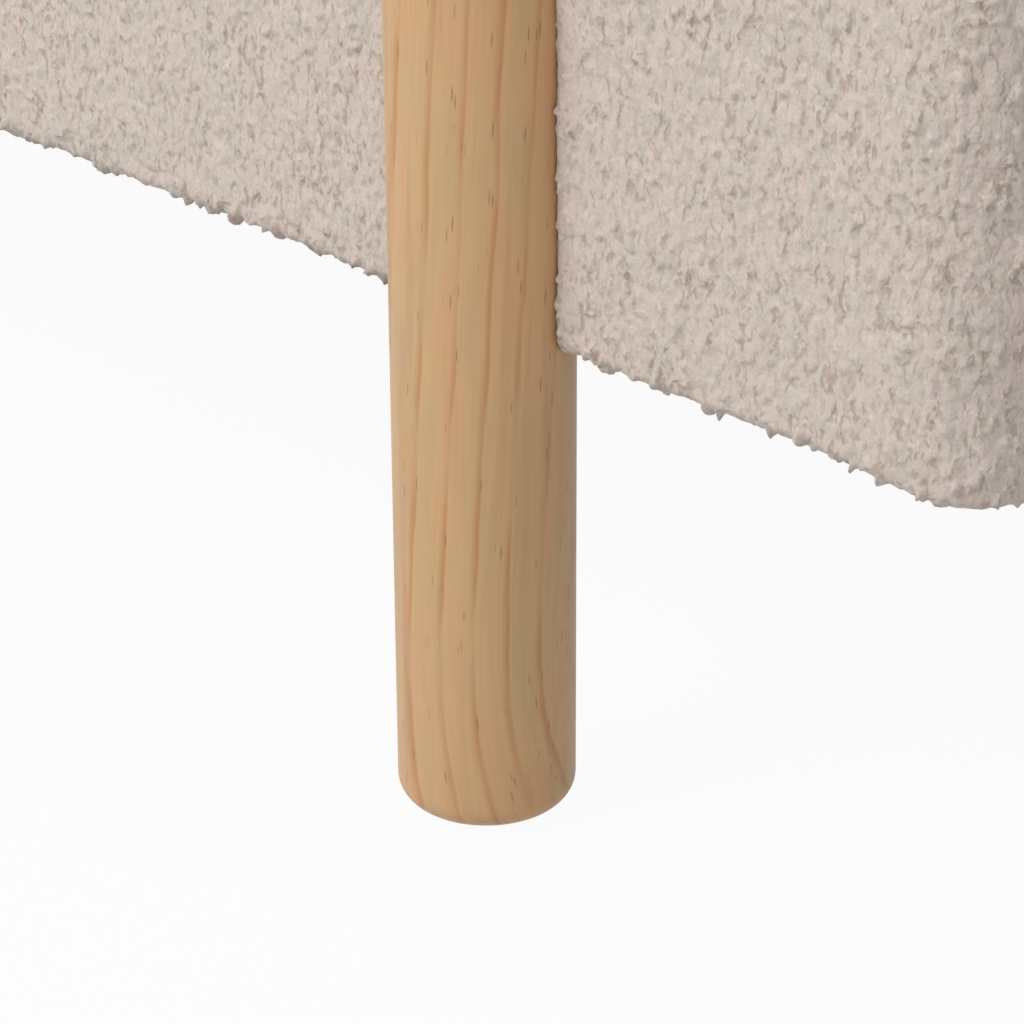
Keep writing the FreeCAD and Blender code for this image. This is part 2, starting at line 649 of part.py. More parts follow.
def back_gable_centre():
    """The middle gable, notched over the low rail of the back."""
    rail = box(-GABLE, BACK_RAIL_Y - OVER, 0, GABLE, BACK_RAIL_Y + RAIL, RAIL_TOP)
    return back_gable(-GABLE / 2).cut(rail)


def back_low_rail():
    """The low rail of the back that the seat base is bolted to."""
    rail = box(-GABLE_X, BACK_RAIL_Y, FRAME_BOTTOM, GABLE_X, BACK_RAIL_Y + RAIL, RAIL_TOP)
    tees = [tee_recess((x, BACK_RAIL_Y + RAIL, z), (0, -1, 0)) for x, z in rear_bolt_places()]
    return cut_all(rail, rear_bolt_holes() + tees)


def back_top_rails():
    """Two boards between the gables, under the top edge of the back."""
    points = back_gable_outline()
    y0, y1, z1 = points[3][1], points[2][1], points[2][2]
    right = box(GABLE / 2, y0, z1 - RAIL, GABLE_X, y1, z1)
    return [right, mirrored(right)]


def back_webbing():
    """Elastic straps across the front edges of the gables."""
    front = COVER + FOAM_BACK_FRONT + FIT
    lean = BACK_LEAN / (BACK_HEIGHT - DECK_HEIGHT)
    first, last = DECK_HEIGHT + WEB_LOW, BACK_HEIGHT - WEB_HIGH
    found = []
    for i in range(WEB_COUNT):
        z = first + i * (last - first) / (WEB_COUNT - 1)
        y = Y_BACK + front + lean * (z - DECK_HEIGHT)
        x = GABLE_X + GABLE
        strap = box(-x, 0, -WEB_WIDTH / 2, x, WEB_THICKNESS - FIT / 2, WEB_WIDTH / 2)
        strap.rotate(Vector(0, 0, 0), Vector(1, 0, 0), -LEAN_ANGLE)
        strap.translate(Vector(0, y, z))
        found.append(strap)
    return found


def back_rear_panel():
    x, y1 = GABLE_X + GABLE, Y_REAR - COVER - FOAM_BACK_REAR
    z0, z1 = FLOOR_GAP + BOTTOM_RADIUS, BACK_HEIGHT - COVER - FOAM_BACK_TOP
    return box(-x, y1 - REAR_PANEL, z0, x, y1, z1)


def back_foam():
    """Foam over the front, top, rear and sides of the back's frame."""
    x, rear = GABLE_X + GABLE + FIT, COVER + FOAM_BACK_REAR - FIT
    inside = back_outline(COVER + FOAM_BACK_FRONT, rear, 0, COVER + FOAM_BACK_TOP - FIT)
    outline = [(0, Y_BACK, 0), (0, Y_REAR - rear, 0)] + inside[2:] + [(0, Y_BACK, DECK_HEIGHT)]
    points = [Vector(-x, y, z) for _, y, z in outline]
    hollow = Part.Face(Part.makePolygon(points + points[:1])).extrude(Vector(2 * x, 0, 0))
    return cut_all(back_body(COVER + FIT).cut(hollow), both_side_bolt_holes())


# ---- bolts between the modules ----
def tee_nut(end, along):
    """A tee nut whose flange's outer face is at end; its barrel points along a direction."""
    e, d = Vector(*end), Vector(*along)
    flange = rod(TEE_FLANGE_DIAMETER / 2, tuple(e), tuple(e + d * TEE_FLANGE_THICKNESS))
    tip = e + d * (TEE_FLANGE_THICKNESS + TEE_BARREL_LENGTH)
    barrel = rod(TEE_BARREL_DIAMETER / 2, tuple(e), tuple(tip))
    bore = rod(BOLT / 2, tuple(e - d * OVER), tuple(tip + d * OVER))
    return flange.fuse(barrel).removeSplitter().cut(bore)


def joining_bolts():
    """Bolts from the seat base into the arms, from the back into the arms, and between base and back."""
    found = []
    for y, z in side_bolt_places():
        head_x = BASE_SIDE_X - RAIL if y < 0 else GABLE_X
        one = bolt((head_x, y, z), (1, 0, 0), FRAME_IN_X + STILE - THREAD_END - head_x)
        found += [one, mirrored(one)]
    y0 = BASE_REAR_Y - RAIL
    length = BACK_RAIL_Y + RAIL - THREAD_END - y0
    return found + [bolt((x, y0, z), (0, 1, 0), length) for x, z in rear_bolt_places()]


def joining_tee_nuts():
    found = []
    for y, z in side_bolt_places():
        nut = tee_nut((FRAME_IN_X + STILE, y, z), (-1, 0, 0))
        found += [nut, mirrored(nut)]
    for x, z in rear_bolt_places():
        found.append(tee_nut((x, BACK_RAIL_Y + RAIL, z), (0, -1, 0)))
    return found


# ---- loose cushions ----
def cushion_width():
    return (SEAT_WIDTH - 2 * CUSHION_SIDE_GAP - CUSHION_MIDDLE_GAP) / 2


def seat_cushion(inset):
    """The right seat cushion, or that shape moved inwards by inset."""
    x0 = CUSHION_MIDDLE_GAP / 2
    corner, edge = SEAT_CUSHION_CORNER - inset, SEAT_CUSHION_EDGE - inset
    z0 = DECK_HEIGHT + CUSHION_REST
    return soft_box(
        (x0 + inset, Y_FRONT - SEAT_CUSHION_OVERHANG + inset, z0 + inset),
        (x0 + cushion_width() - inset, Y_BACK - SEAT_CUSHION_REAR_GAP - inset, SEAT_TOP - inset),
        (corner,) * 4, (edge,) * 4, (edge,) * 4,
    )


def back_cushion(inset):
    """The right back cushion, leaning on the back and standing on the seat cushion."""
    x0 = CUSHION_MIDDLE_GAP / 2
    width, depth, height = cushion_width(), BACK_CUSHION_THICKNESS, BACK_CUSHION_HEIGHT

    def upright(cut):
        corner, edge = BACK_CUSHION_CORNER - cut, BACK_CUSHION_EDGE - cut
        shape = soft_box(
            (x0 + cut, -depth + cut, cut), (x0 + width - cut, -cut, height - cut),
            (corner,) * 4, (edge,) * 4, (corner,) * 4,
        )
        shape.rotate(Vector(0, 0, 0), Vector(1, 0, 0), -LEAN_ANGLE)
        return shape

    lift = SEAT_TOP + CUSHION_REST - upright(0).BoundBox.ZMin
    lean = BACK_LEAN / (BACK_HEIGHT - DECK_HEIGHT)
    y_face = Y_BACK + lean * (lift - DECK_HEIGHT) - CUSHION_REST / math.cos(math.radians(LEAN_ANGLE))
    shape = upright(inset)
    shape.translate(Vector(0, y_face, lift))
    return shape


def cushion_nodes(name, make):
    """The cover and the filling of a right and a left cushion."""
    cover, filling = make(0).cut(make(COVER)), make(COVER + FIT)
    return {
        f"{name}_right_cover": [cover],
        f"{name}_right_filling": [filling],
        f"{name}_left_cover": [mirrored(cover)],
        f"{name}_left_filling": [mirrored(filling)],
    }


# ---- all the nodes ----
def arm_nodes():
    inner = arm_inner_stile()
    right = {
        "cover": [arm_cover()],
        "foam": [arm_foam()],
        "front_stile": [inner],
        "rear_stile": [front_to_rear(inner)],
        "outer_stiles": arm_outer_stiles(),
        "end_boards": arm_end_boards(),
        "panels": arm_panels(),
        "top_board": [arm_board(FRAME_ARM_TOP - BOARD, FRAME_ARM_TOP)],
        "bottom_board": [arm_board(FRAME_BOTTOM, FRAME_BOTTOM + BOARD)],
    }
    nodes = {}
    for part, solids in right.items():
        nodes[f"arm_right_{part}"] = solids
        nodes[f"arm_left_{part}"] = [mirrored(s) for s in solids]
    return nodes


def all_nodes():
    front_right = post()
    side_rail = base_side_rail()
    nodes = {
        "post_front_right": [front_right],
        "post_front_left": [mirrored(front_right)],
        "post_rear_right": [front_to_rear(front_right)],
        "post_rear_left": [mirrored(front_to_rear(front_right))],
        "post_glides": four_corners(glide()),
        "post_bolts": post_bolts(),
        "post_washers": post_washers(),
        "post_inserts": post_inserts(),
        "base_front_rail": [base_front_rail()],
        "base_rear_rail": [base_rear_rail()],
        "base_side_rail_right": [side_rail],
        "base_side_rail_left": [mirrored(side_rail)],
        "base_centre_rail": [base_centre_rail()],
        "base_corner_blocks": corner_blocks(),
        "base_front_foam": [base_front_foam()],
        "base_front_cover": [base_front_cover()],
        "seat_springs": seat_springs(),
        "spring_clips": spring_clips(),
        "spring_tie_wires": spring_tie_wires(),
        "spring_pad": [spring_pad()],
        "deck_cloth": [deck_cloth()],
        "dust_cloths": dust_cloths(),
        "back_gable_right": [back_gable(GABLE_X)],
        "back_gable_left": [back_gable(-GABLE_X - GABLE)],
        "back_gable_centre": [back_gable_centre()],
        "back_low_rail": [back_low_rail()],
        "back_top_rails": back_top_rails(),
        "back_webbing": back_webbing(),
        "back_rear_panel": [back_rear_panel()],
        "back_foam": [back_foam()],
        "back_cover": [back_cover()],
        "joining_bolts": joining_bolts(),
        "joining_tee_nuts": joining_tee_nuts(),
    }
    nodes.update(arm_nodes())
    nodes.update(cushion_nodes("seat_cushion", seat_cushion))
    nodes.update(cushion_nodes("back_cushion", back_cushion))
    return nodes


def main():
    os.makedirs("parts", exist_ok=True)
    for name, shapes in all_nodes().items():
        solids = [solid for shape in shapes for solid in shape.Solids]
        whole = solids[0] if len(solids) == 1 else Part.makeCompound(solids)
        whole.exportStep(f"parts/{name}.step")
        state = "ok" if whole.isValid() else "NOT VALID"
        print(f"{name}: {len(solids)} solids, {whole.Volume / 1e3:.1f} cm3, {state}")


main()
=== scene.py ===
import json
import math

import bmesh
import bpy
import numpy as np
from mathutils import Matrix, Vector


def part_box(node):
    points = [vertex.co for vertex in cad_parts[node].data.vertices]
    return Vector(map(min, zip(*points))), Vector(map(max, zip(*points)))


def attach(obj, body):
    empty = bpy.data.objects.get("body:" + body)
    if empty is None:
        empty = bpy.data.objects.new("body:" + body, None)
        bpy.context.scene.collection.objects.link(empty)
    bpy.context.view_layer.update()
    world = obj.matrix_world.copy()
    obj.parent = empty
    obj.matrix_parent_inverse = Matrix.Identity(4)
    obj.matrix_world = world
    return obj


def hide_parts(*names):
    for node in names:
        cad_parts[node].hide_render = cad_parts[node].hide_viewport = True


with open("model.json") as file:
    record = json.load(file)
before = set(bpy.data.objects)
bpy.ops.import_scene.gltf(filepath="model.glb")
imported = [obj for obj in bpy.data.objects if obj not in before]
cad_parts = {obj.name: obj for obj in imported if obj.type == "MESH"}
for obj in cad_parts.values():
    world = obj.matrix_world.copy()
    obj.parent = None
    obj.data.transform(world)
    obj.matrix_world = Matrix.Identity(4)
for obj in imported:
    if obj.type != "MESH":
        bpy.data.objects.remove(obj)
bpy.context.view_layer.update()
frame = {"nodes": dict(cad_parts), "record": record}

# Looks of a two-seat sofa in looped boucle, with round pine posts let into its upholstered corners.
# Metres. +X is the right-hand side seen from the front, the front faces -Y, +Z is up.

MM = 0.001
POST_NODES = ("post_front_right", "post_front_left", "post_rear_right", "post_rear_left")

# ---- places, all read from the frame ----
def corners(node):
    """A node's lowest and highest corners as arrays."""
    low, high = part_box(node)
    return np.array(low), np.array(high)


ARM_LOW, ARM_HIGH = corners("arm_right_cover")
RAIL_LOW, RAIL_HIGH = corners("base_front_cover")
BACK_LOW, BACK_HIGH = corners("back_cover")
POST_LOW, POST_HIGH = corners("post_front_right")
POST_RADIUS = (POST_HIGH[0] - POST_LOW[0]) / 2
POST_AXIS = (POST_LOW + POST_HIGH)[:2] / 2
POST_AXES = [POST_AXIS * (sx, sy) for sx in (1, -1) for sy in (1, -1)]

# ---- upholstery sizes ----
POST_EDGE = 7.5 * MM  # rounding at a post's ends
ARM_CORNER = 30 * MM  # upright outer corners of an arm
ARM_INNER_CORNER = 5 * MM
ARM_TOP_EDGE = 33 * MM
HEM_EDGE = 3.2 * MM  # bottom edges
HEM_WIDTH = 27 * MM
HEM_DROP = 0.8 * MM  # the pile hangs this far below the frame's underside
LOFT = 1.0 * MM  # the pile stands this far proud of the cloth
RAIL_TOP_EDGE = 14 * MM
BACK_TOP_CORNER = 45 * MM
BACK_EDGE = 26 * MM
DECK_LEVEL = RAIL_HIGH[2]
TUCK, TUCK_DEPTH = 4.4 * MM, 2.1 * MM  # width and depth of the turned-in edge beside a post
SEAM_DEPTH, SEAM_WIDTH = 2.2 * MM, 3.0 * MM
FINE, MEDIUM, COARSE = 0.85 * MM, 3.0 * MM, 6.0 * MM  # mesh spacing, by how closely a part is seen
WRAP = 42 * MM  # the front and rear panels of an arm reach this far round onto its side

# the hem sags at an arm's outer corners, and a little beside the posts
CORNER_DROP, CORNER_PULL, CORNER_REACH, CORNER_HEIGHT = 3.4 * MM, 3.2 * MM, 23 * MM, 65 * MM
POST_DROP, POST_REACH, POST_HEIGHT = 1.6 * MM, 5 * MM, 16 * MM

SAME_PLACE = 0.01 * MM  # points closer than this are one

# ---- pile of the boucle ----
NUB = np.array([3.4, 3.4, 4.6]) * MM  # one loop of yarn: as wide, as deep and as tall
CURL = NUB / 2
TUFT = 2.1 * MM
NUB_HEIGHT, CURL_HEIGHT, TUFT_HEIGHT, WAVE_HEIGHT = 1.05 * MM, 0.5 * MM, 1.3 * MM, 0.6 * MM
# loose ends stand out along the folded hem: how far up, how high, and how wide each is
HEM_TUFTS, HEM_TUFT_HEIGHT, HEM_TUFT = 7 * MM, 2.6 * MM, 2.4 * MM
WAVE = 17 * MM
STRAY, STRAY_SIZE = 1.3 * MM, 1.3  # how far the loops wander, and over how many loops
LOOP_REACH, LOOP_MEAN = 0.95, 0.7  # a dome's radius in cells, and its usual height as a share
MESH_PER_LOOP = 1.5  # a mesh carries a loop only if the loop is this many spacings wide
ROUGH_SHARE = 0.6  # height of the plain noise that stands in for loops on a coarse mesh
TUFT_LIMITS, HEM_TUFT_LIMITS = (0.3, 0.95), (0.25, 0.9)  # noise at which a tuft starts and is full


# ---- noise on arrays ----
PRIMES = (374761393, 668265263, 2246822519, 3266489917)
WORD = 0xFFFFFFFF  # the low 32 bits


def lattice(cells, seed):
    """A repeatable number from 0 to 1 for each whole-number cell: its indices and the seed times large
    primes, added, then shifted and multiplied so that every bit depends on all of them."""
    i = cells.astype(np.int64).astype(np.uint64)
    n = i[..., 0] * PRIMES[0] + i[..., 1] * PRIMES[1] + i[..., 2] * PRIMES[2] + np.uint64(seed * PRIMES[3])
    n = (n & WORD) ^ ((n & WORD) >> 15)
    n = (n * PRIMES[2]) & WORD
    n = ((n ^ (n >> 13)) * PRIMES[3]) & WORD
    return (n ^ (n >> 16)).astype(float) / WORD


def smooth_noise(points, size, seed):
    """Lattice values blended between the eight corners of each cell with a smooth step; about -1 to 1."""
    p = points / size
    low = np.floor(p)
    f = p - low
    f = f * f * (3 - 2 * f)
    total = np.zeros(p.shape[:-1])
    for corner in range(8):
        step = np.array([corner & 1, corner >> 1 & 1, corner >> 2 & 1])
        weight = np.prod(np.where(step, f, 1 - f), axis=-1)
        total += weight * lattice(low + step, seed)
    return total * 2 - 1


def cell_distance(points, size, seed):
    """Distance from each point to the nearest of one jittered point per cell, in cells."""
    p = points / size
    low = np.floor(p)
    nearest = np.full(p.shape[:-1], 9.0)
    for step in np.ndindex(3, 3, 3):
        cell = low + step - 1
        centre = cell + np.stack([lattice(cell, seed + k) for k in range(3)], axis=-1)
        nearest = np.minimum(nearest, np.sum((p - centre) ** 2, axis=-1))
    return np.sqrt(nearest)


def dome(distance, reach):
    """A round-topped bump: the square root of one less the square of distance over reach."""
    return np.sqrt(np.clip(1 - (distance / reach) ** 2, 0, 1))


def eased(value, low, high):
    """0 below low, 1 above high, and a smooth step between."""
    t = np.clip((value - low) / (high - low), 0, 1)
    return t * t * (3 - 2 * t)


def pile(points, spacing):
    """Height of the looped pile: domes over the loops and their smaller curls, a few tufts that stand up
    where a noise passes a limit, and a slow wave. Detail that the mesh spacing can't carry is left out."""
    height = LOFT + WAVE_HEIGHT * smooth_noise(points, WAVE, 5)
    if spacing > NUB[0] / MESH_PER_LOOP:
        return height + NUB_HEIGHT * ROUGH_SHARE * smooth_noise(points, np.maximum(NUB, 2 * spacing), 12)
    stray = np.stack([smooth_noise(points, NUB * STRAY_SIZE, seed) for seed in (31, 32, 33)], axis=-1)
    bent = points + STRAY * stray
    height += NUB_HEIGHT * (dome(cell_distance(bent, NUB, 11), LOOP_REACH) - LOOP_MEAN)
    if spacing <= CURL[0] / MESH_PER_LOOP:
        height += CURL_HEIGHT * (dome(cell_distance(bent, CURL, 23), LOOP_REACH) - LOOP_MEAN)
        height += TUFT_HEIGHT * eased(smooth_noise(bent, TUFT, 41), *TUFT_LIMITS)
        near_hem = np.exp(-((points[..., 2] - RAIL_LOW[2]) / HEM_TUFTS) ** 2)
        height += HEM_TUFT_HEIGHT * near_hem * eased(smooth_noise(bent, HEM_TUFT, 43), *HEM_TUFT_LIMITS)
    return height


# ---- meshes from grids ----
def placed(name, data):
    """A new object in the scene."""
    obj = bpy.data.objects.new(name, data)
    bpy.context.scene.collection.objects.link(obj)
    return obj


def mesh_object(name, points, faces, material, coords=None):
    """A smooth-shaded mesh; coords, if given, becomes the vector attribute that its material reads."""
    mesh = bpy.data.meshes.new(name)
    mesh.from_pydata(points.reshape(-1, 3).tolist(), [], faces.tolist())
    if coords is not None:
        attribute = mesh.attributes.new("grain", "FLOAT_VECTOR", "POINT")
        attribute.data.foreach_set("vector", coords.reshape(-1).astype(np.float32))
    mesh.validate()
    mesh.update()
    mesh.shade_smooth()
    mesh.materials.append(material)
    return placed(name, mesh)


def grid_faces(rows, columns, wrap=False):
    """Quads between neighbouring rows and columns; with wrap, the last column joins the first."""
    index = np.arange(rows * columns).reshape(rows, columns)
    following = np.roll(index, -1, axis=1) if wrap else index[:, 1:]
    here = index if wrap else index[:, :-1]
    quads = [here[:-1], following[:-1], following[1:], here[1:]]
    return np.stack(quads, axis=-1).reshape(-1, 4)


def merged(obj):
    """Joins points that coincide, at poles and closed seams."""
    work = bmesh.new()
    work.from_mesh(obj.data)
    bmesh.ops.remove_doubles(work, verts=work.verts, dist=SAME_PLACE)
    work.to_mesh(obj.data)
    work.free()
    return obj


def normals(points, wrap=False):
    """Unit normals of a grid: the cross product of its slopes along columns and along rows. On a closed
    grid they are added up over the points that coincide, so that poles and mitred corners stay closed."""
    padded = np.concatenate([points[:, -1:], points, points[:, :1]], axis=1) if wrap else points
    across = np.gradient(padded, axis=1)
    across = across[:, 1:-1] if wrap else across
    normal = np.cross(across, np.gradient(points, axis=0))
    if wrap:
        places = np.round(points.reshape(-1, 3) / SAME_PLACE).astype(int)
        group = np.unique(places, axis=0, return_inverse=True)[1].reshape(-1)
        total = np.zeros((group.max() + 1, 3))
        np.add.at(total, group, normal.reshape(-1, 3))
        normal = total[group].reshape(points.shape)
    return normal / np.maximum(np.linalg.norm(normal, axis=-1, keepdims=True), 1e-12)


def steps(start, end, spacing):
    """Evenly spaced numbers from start to end, both included, no further apart than spacing."""
    return np.linspace(start, end, max(2, int(math.ceil(abs(end - start) / spacing)) + 1))


def joined(*runs):
    """Runs of rows or numbers end to end, with a repeated end left out."""
    out = [runs[0]]
    for run in runs[1:]:
        out.append(run[1:] if np.allclose(out[-1][-1], run[0], atol=1e-9) else run)
    return np.concatenate(out)


def arc(centre, radius, start, end, spacing):
    """Points on a circle between two angles in degrees."""
    count = max(5, int(abs(math.radians(end - start)) * radius / spacing) + 1)
    a = np.radians(np.linspace(start, end, count))
    return np.stack([centre[0] + radius * np.cos(a), centre[1] + radius * np.sin(a)], axis=-1)


def line(a, b, spacing):
    """Points on a straight run."""
    count = len(steps(0, math.dist(a, b), spacing))
    return np.linspace(a, b, count)


def outline(stations, low, high, radii, inset):
    """Points round a rectangle with rounded corners, moved inwards by inset.
    A station's whole part is its stretch (0, 2, 4, 6 the sides from the low corner anticlockwise;
    1, 3, 5, 7 the corner that follows each side), and the rest is its share of that stretch."""
    size = high - low
    inset = min(inset, size.min() / 2)
    low, high = low + inset, high - inset
    x0, y0, x1, y1 = low[0], low[1], high[0], high[1]
    r = [min(max(radius - inset, 0), size.min() / 2 - inset) for radius in radii]
    ends = [
        ((x0 + r[3], y0), (x1 - r[0], y0)), ((x1, y0 + r[0]), (x1, y1 - r[1])),
        ((x1 - r[1], y1), (x0 + r[2], y1)), ((x0, y1 - r[2]), (x0, y0 + r[3])),
    ]
    hubs = [(x1 - r[0], y0 + r[0]), (x1 - r[1], y1 - r[1]), (x0 + r[2], y1 - r[2]), (x0 + r[3], y0 + r[3])]
    points = np.zeros((len(stations), 2))
    stretch = np.floor(stations).astype(int)
    share = stations - stretch
    for k in range(4):
        on = stretch == 2 * k
        a, b = np.array(ends[k][0]), np.array(ends[k][1])
        points[on] = a + share[on, None] * (b - a)
        on = stretch == 2 * k + 1
        angle = math.pi / 2 * (share[on] + k - 1)
        points[on] = np.array(hubs[k]) + r[k] * np.stack([np.cos(angle), np.sin(angle)], axis=-1)
    return points


def shell(stations, profile, low, high, radii):
    """Outlines stacked at the profile's heights, each inset by the profile's amount: (rows, columns, 3)."""
    rows = []
    for inset, height in profile:
        flat = outline(stations, low[:2], high[:2], radii, inset)
        rows.append(np.column_stack([flat, np.full(len(flat), height)]))
    return np.array(rows)


def along(points, axis):
    """Distance run along a grid from its first row or column."""
    gaps = np.linalg.norm(np.diff(points, axis=axis), axis=-1)
    total = np.cumsum(gaps, axis=axis)
    start = np.zeros_like(np.take(total, [0], axis=axis))
    return np.concatenate([start, total], axis=axis)


def crown(points, low, high):
    """The share of a crowned panel's rise at each point of a rectangle: one less the fourth power of the way
    from the middle to the edge, for both directions multiplied; 1 in the middle, 0 at the edges."""
    a = 2 * (points - low) / (high - low) - 1
    return np.prod(np.clip(1 - a ** 4, 0, 1), axis=-1)


def swell(points, amount):
    """How far stuffing lifts each point of a panel: the amount times one less the fourth power of the way
    from the middle to the border, for both directions; most in the middle, nothing at its borders."""
    a = np.linspace(-1, 1, len(points))[:, None]
    u = along(points, 1)
    b = 2 * u / np.maximum(u[:, -1:], 1e-9) - 1
    return amount * (1 - a ** 4) * (1 - b ** 4)


def tucked(points):
    """How far the fabric turns in beside the posts: a quarter ellipse, then straight in."""
    depth = np.zeros(points.shape[:-1])
    for axis in POST_AXES:
        gap = np.hypot(points[..., 0] - axis[0], points[..., 1] - axis[1]) - POST_RADIUS
        over = np.clip(TUCK - gap, 0, TUCK)
        turned = TUCK_DEPTH * (1 - np.sqrt(1 - (over / TUCK) ** 2))
        depth = np.maximum(depth, turned + np.clip(-gap, 0, 3 * TUCK_DEPTH))
    return depth


def sagged(points):
    """Lowers the hem and pulls it out at the arms' outer corners, and lowers it beside the posts. Both
    follow a bell curve of the distance, times the square of the share of the height that is left."""
    share = ARM_CORNER * (1 - math.sqrt(0.5))
    moved = points.copy()
    for sy, corner_y in ((-1, ARM_LOW[1] + share), (1, ARM_HIGH[1] - share)):
        away = np.hypot(points[..., 0] - (ARM_HIGH[0] - share), points[..., 1] - corner_y) / CORNER_REACH
        height = np.clip(1 - (points[..., 2] - ARM_LOW[2]) / CORNER_HEIGHT, 0, 1)
        bell = np.exp(-away ** 2) * height ** 2
        moved[..., 2] -= CORNER_DROP * bell
        moved[..., 0] += CORNER_PULL * math.sqrt(0.5) * bell
        moved[..., 1] += sy * CORNER_PULL * math.sqrt(0.5) * bell
    height = np.clip(1 - (points[..., 2] - ARM_LOW[2]) / POST_HEIGHT, 0, 1)
    for axis in POST_AXES:
        gap = np.hypot(points[..., 0] - axis[0], points[..., 1] - axis[1]) - POST_RADIUS
        moved[..., 2] -= POST_DROP * np.exp(-(np.maximum(gap, 0) / POST_REACH) ** 2) * height ** 2
    return moved


def seam_dip(points, borders):
    """A groove along the named borders of a panel, where it is sewn to the next: SEAM_DEPTH deep at the
    border, and falling off as a bell curve of the distance run from it."""
    dip = np.zeros(points.shape[:2])
    for axis, first, last in ((1, "left", "right"), (0, "low", "high")):
        run = along(points, axis)
        if first in borders:
            dip = np.maximum(dip, np.exp(-(run / SEAM_WIDTH) ** 2))
        if last in borders:
            end = np.take(run, [-1], axis=axis)
            dip = np.maximum(dip, np.exp(-((end - run) / SEAM_WIDTH) ** 2))
    return dip * SEAM_DEPTH


def upholster(name, points, spacing, swelling=0.0, borders=(), mirror=False, wrap=False):
    """A boucle panel over a base grid: swelled, dipped at its seams, tucked in at the posts, and piled."""
    normal = normals(points, wrap)
    sideways = np.hypot(normal[..., 0], normal[..., 1])
    lift = swell(points, swelling) - seam_dip(points, borders) - tucked(points) * sideways
    lift = lift + pile(points, spacing)
    points = points + normal * lift[..., None]
    if mirror:
        points = points * (-1, 1, 1)
        points = points[:, ::-1]
    obj = mesh_object(name, points, grid_faces(*points.shape[:2], wrap), BOUCLE)
    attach(obj, "frame")
    return obj


# ---- materials ----
def linear(hex_colour):
    """A hex sRGB colour as linear red, green, blue and an alpha of 1."""
    parts = [int(hex_colour[i:i + 2], 16) / 255 for i in (1, 3, 5)]
    return [c / 12.92 if c <= 0.04045 else ((c + 0.055) / 1.055) ** 2.4 for c in parts] + [1.0]


def add(tree, kind, inputs, out=0, stops=(), **settings):
    """Adds a shader node and returns one of its outputs. inputs maps an input's name or number to a value or
    to the output that feeds it; stops are a ramp's positions and hex colours; settings are its own."""
    node = tree.nodes.new("ShaderNode" + kind)
    for key, value in settings.items():
        setattr(node, key, value)
    for key, value in inputs.items():
        if isinstance(value, bpy.types.NodeSocket):
            tree.links.new(value, node.inputs[key])
        else:
            node.inputs[key].default_value = value
    for _ in stops[2:]:
        node.color_ramp.elements.new(0.5)
    for number, (position, colour) in enumerate(stops):
        node.color_ramp.elements[number].position = position
        node.color_ramp.elements[number].color = linear(colour)
    return node.outputs[out]


def surface(name, **constants):
    """A new material, its tree and its shader's inputs; constants are set on the shader's own sockets."""
    material = bpy.data.materials.new(name)
    material.use_nodes = True
    shader = material.node_tree.nodes["Principled BSDF"]
    for key, value in constants.items():
        shader.inputs[key.replace("_", " ")].default_value = value
    return material, material.node_tree, shader.inputs


SMOOTH = {"interpolation_type": "SMOOTHSTEP"}
COLOUR_MIX = {"data_type": "RGBA"}  # inputs 0, 6 and 7 are the factor and two colours, output 2 the result


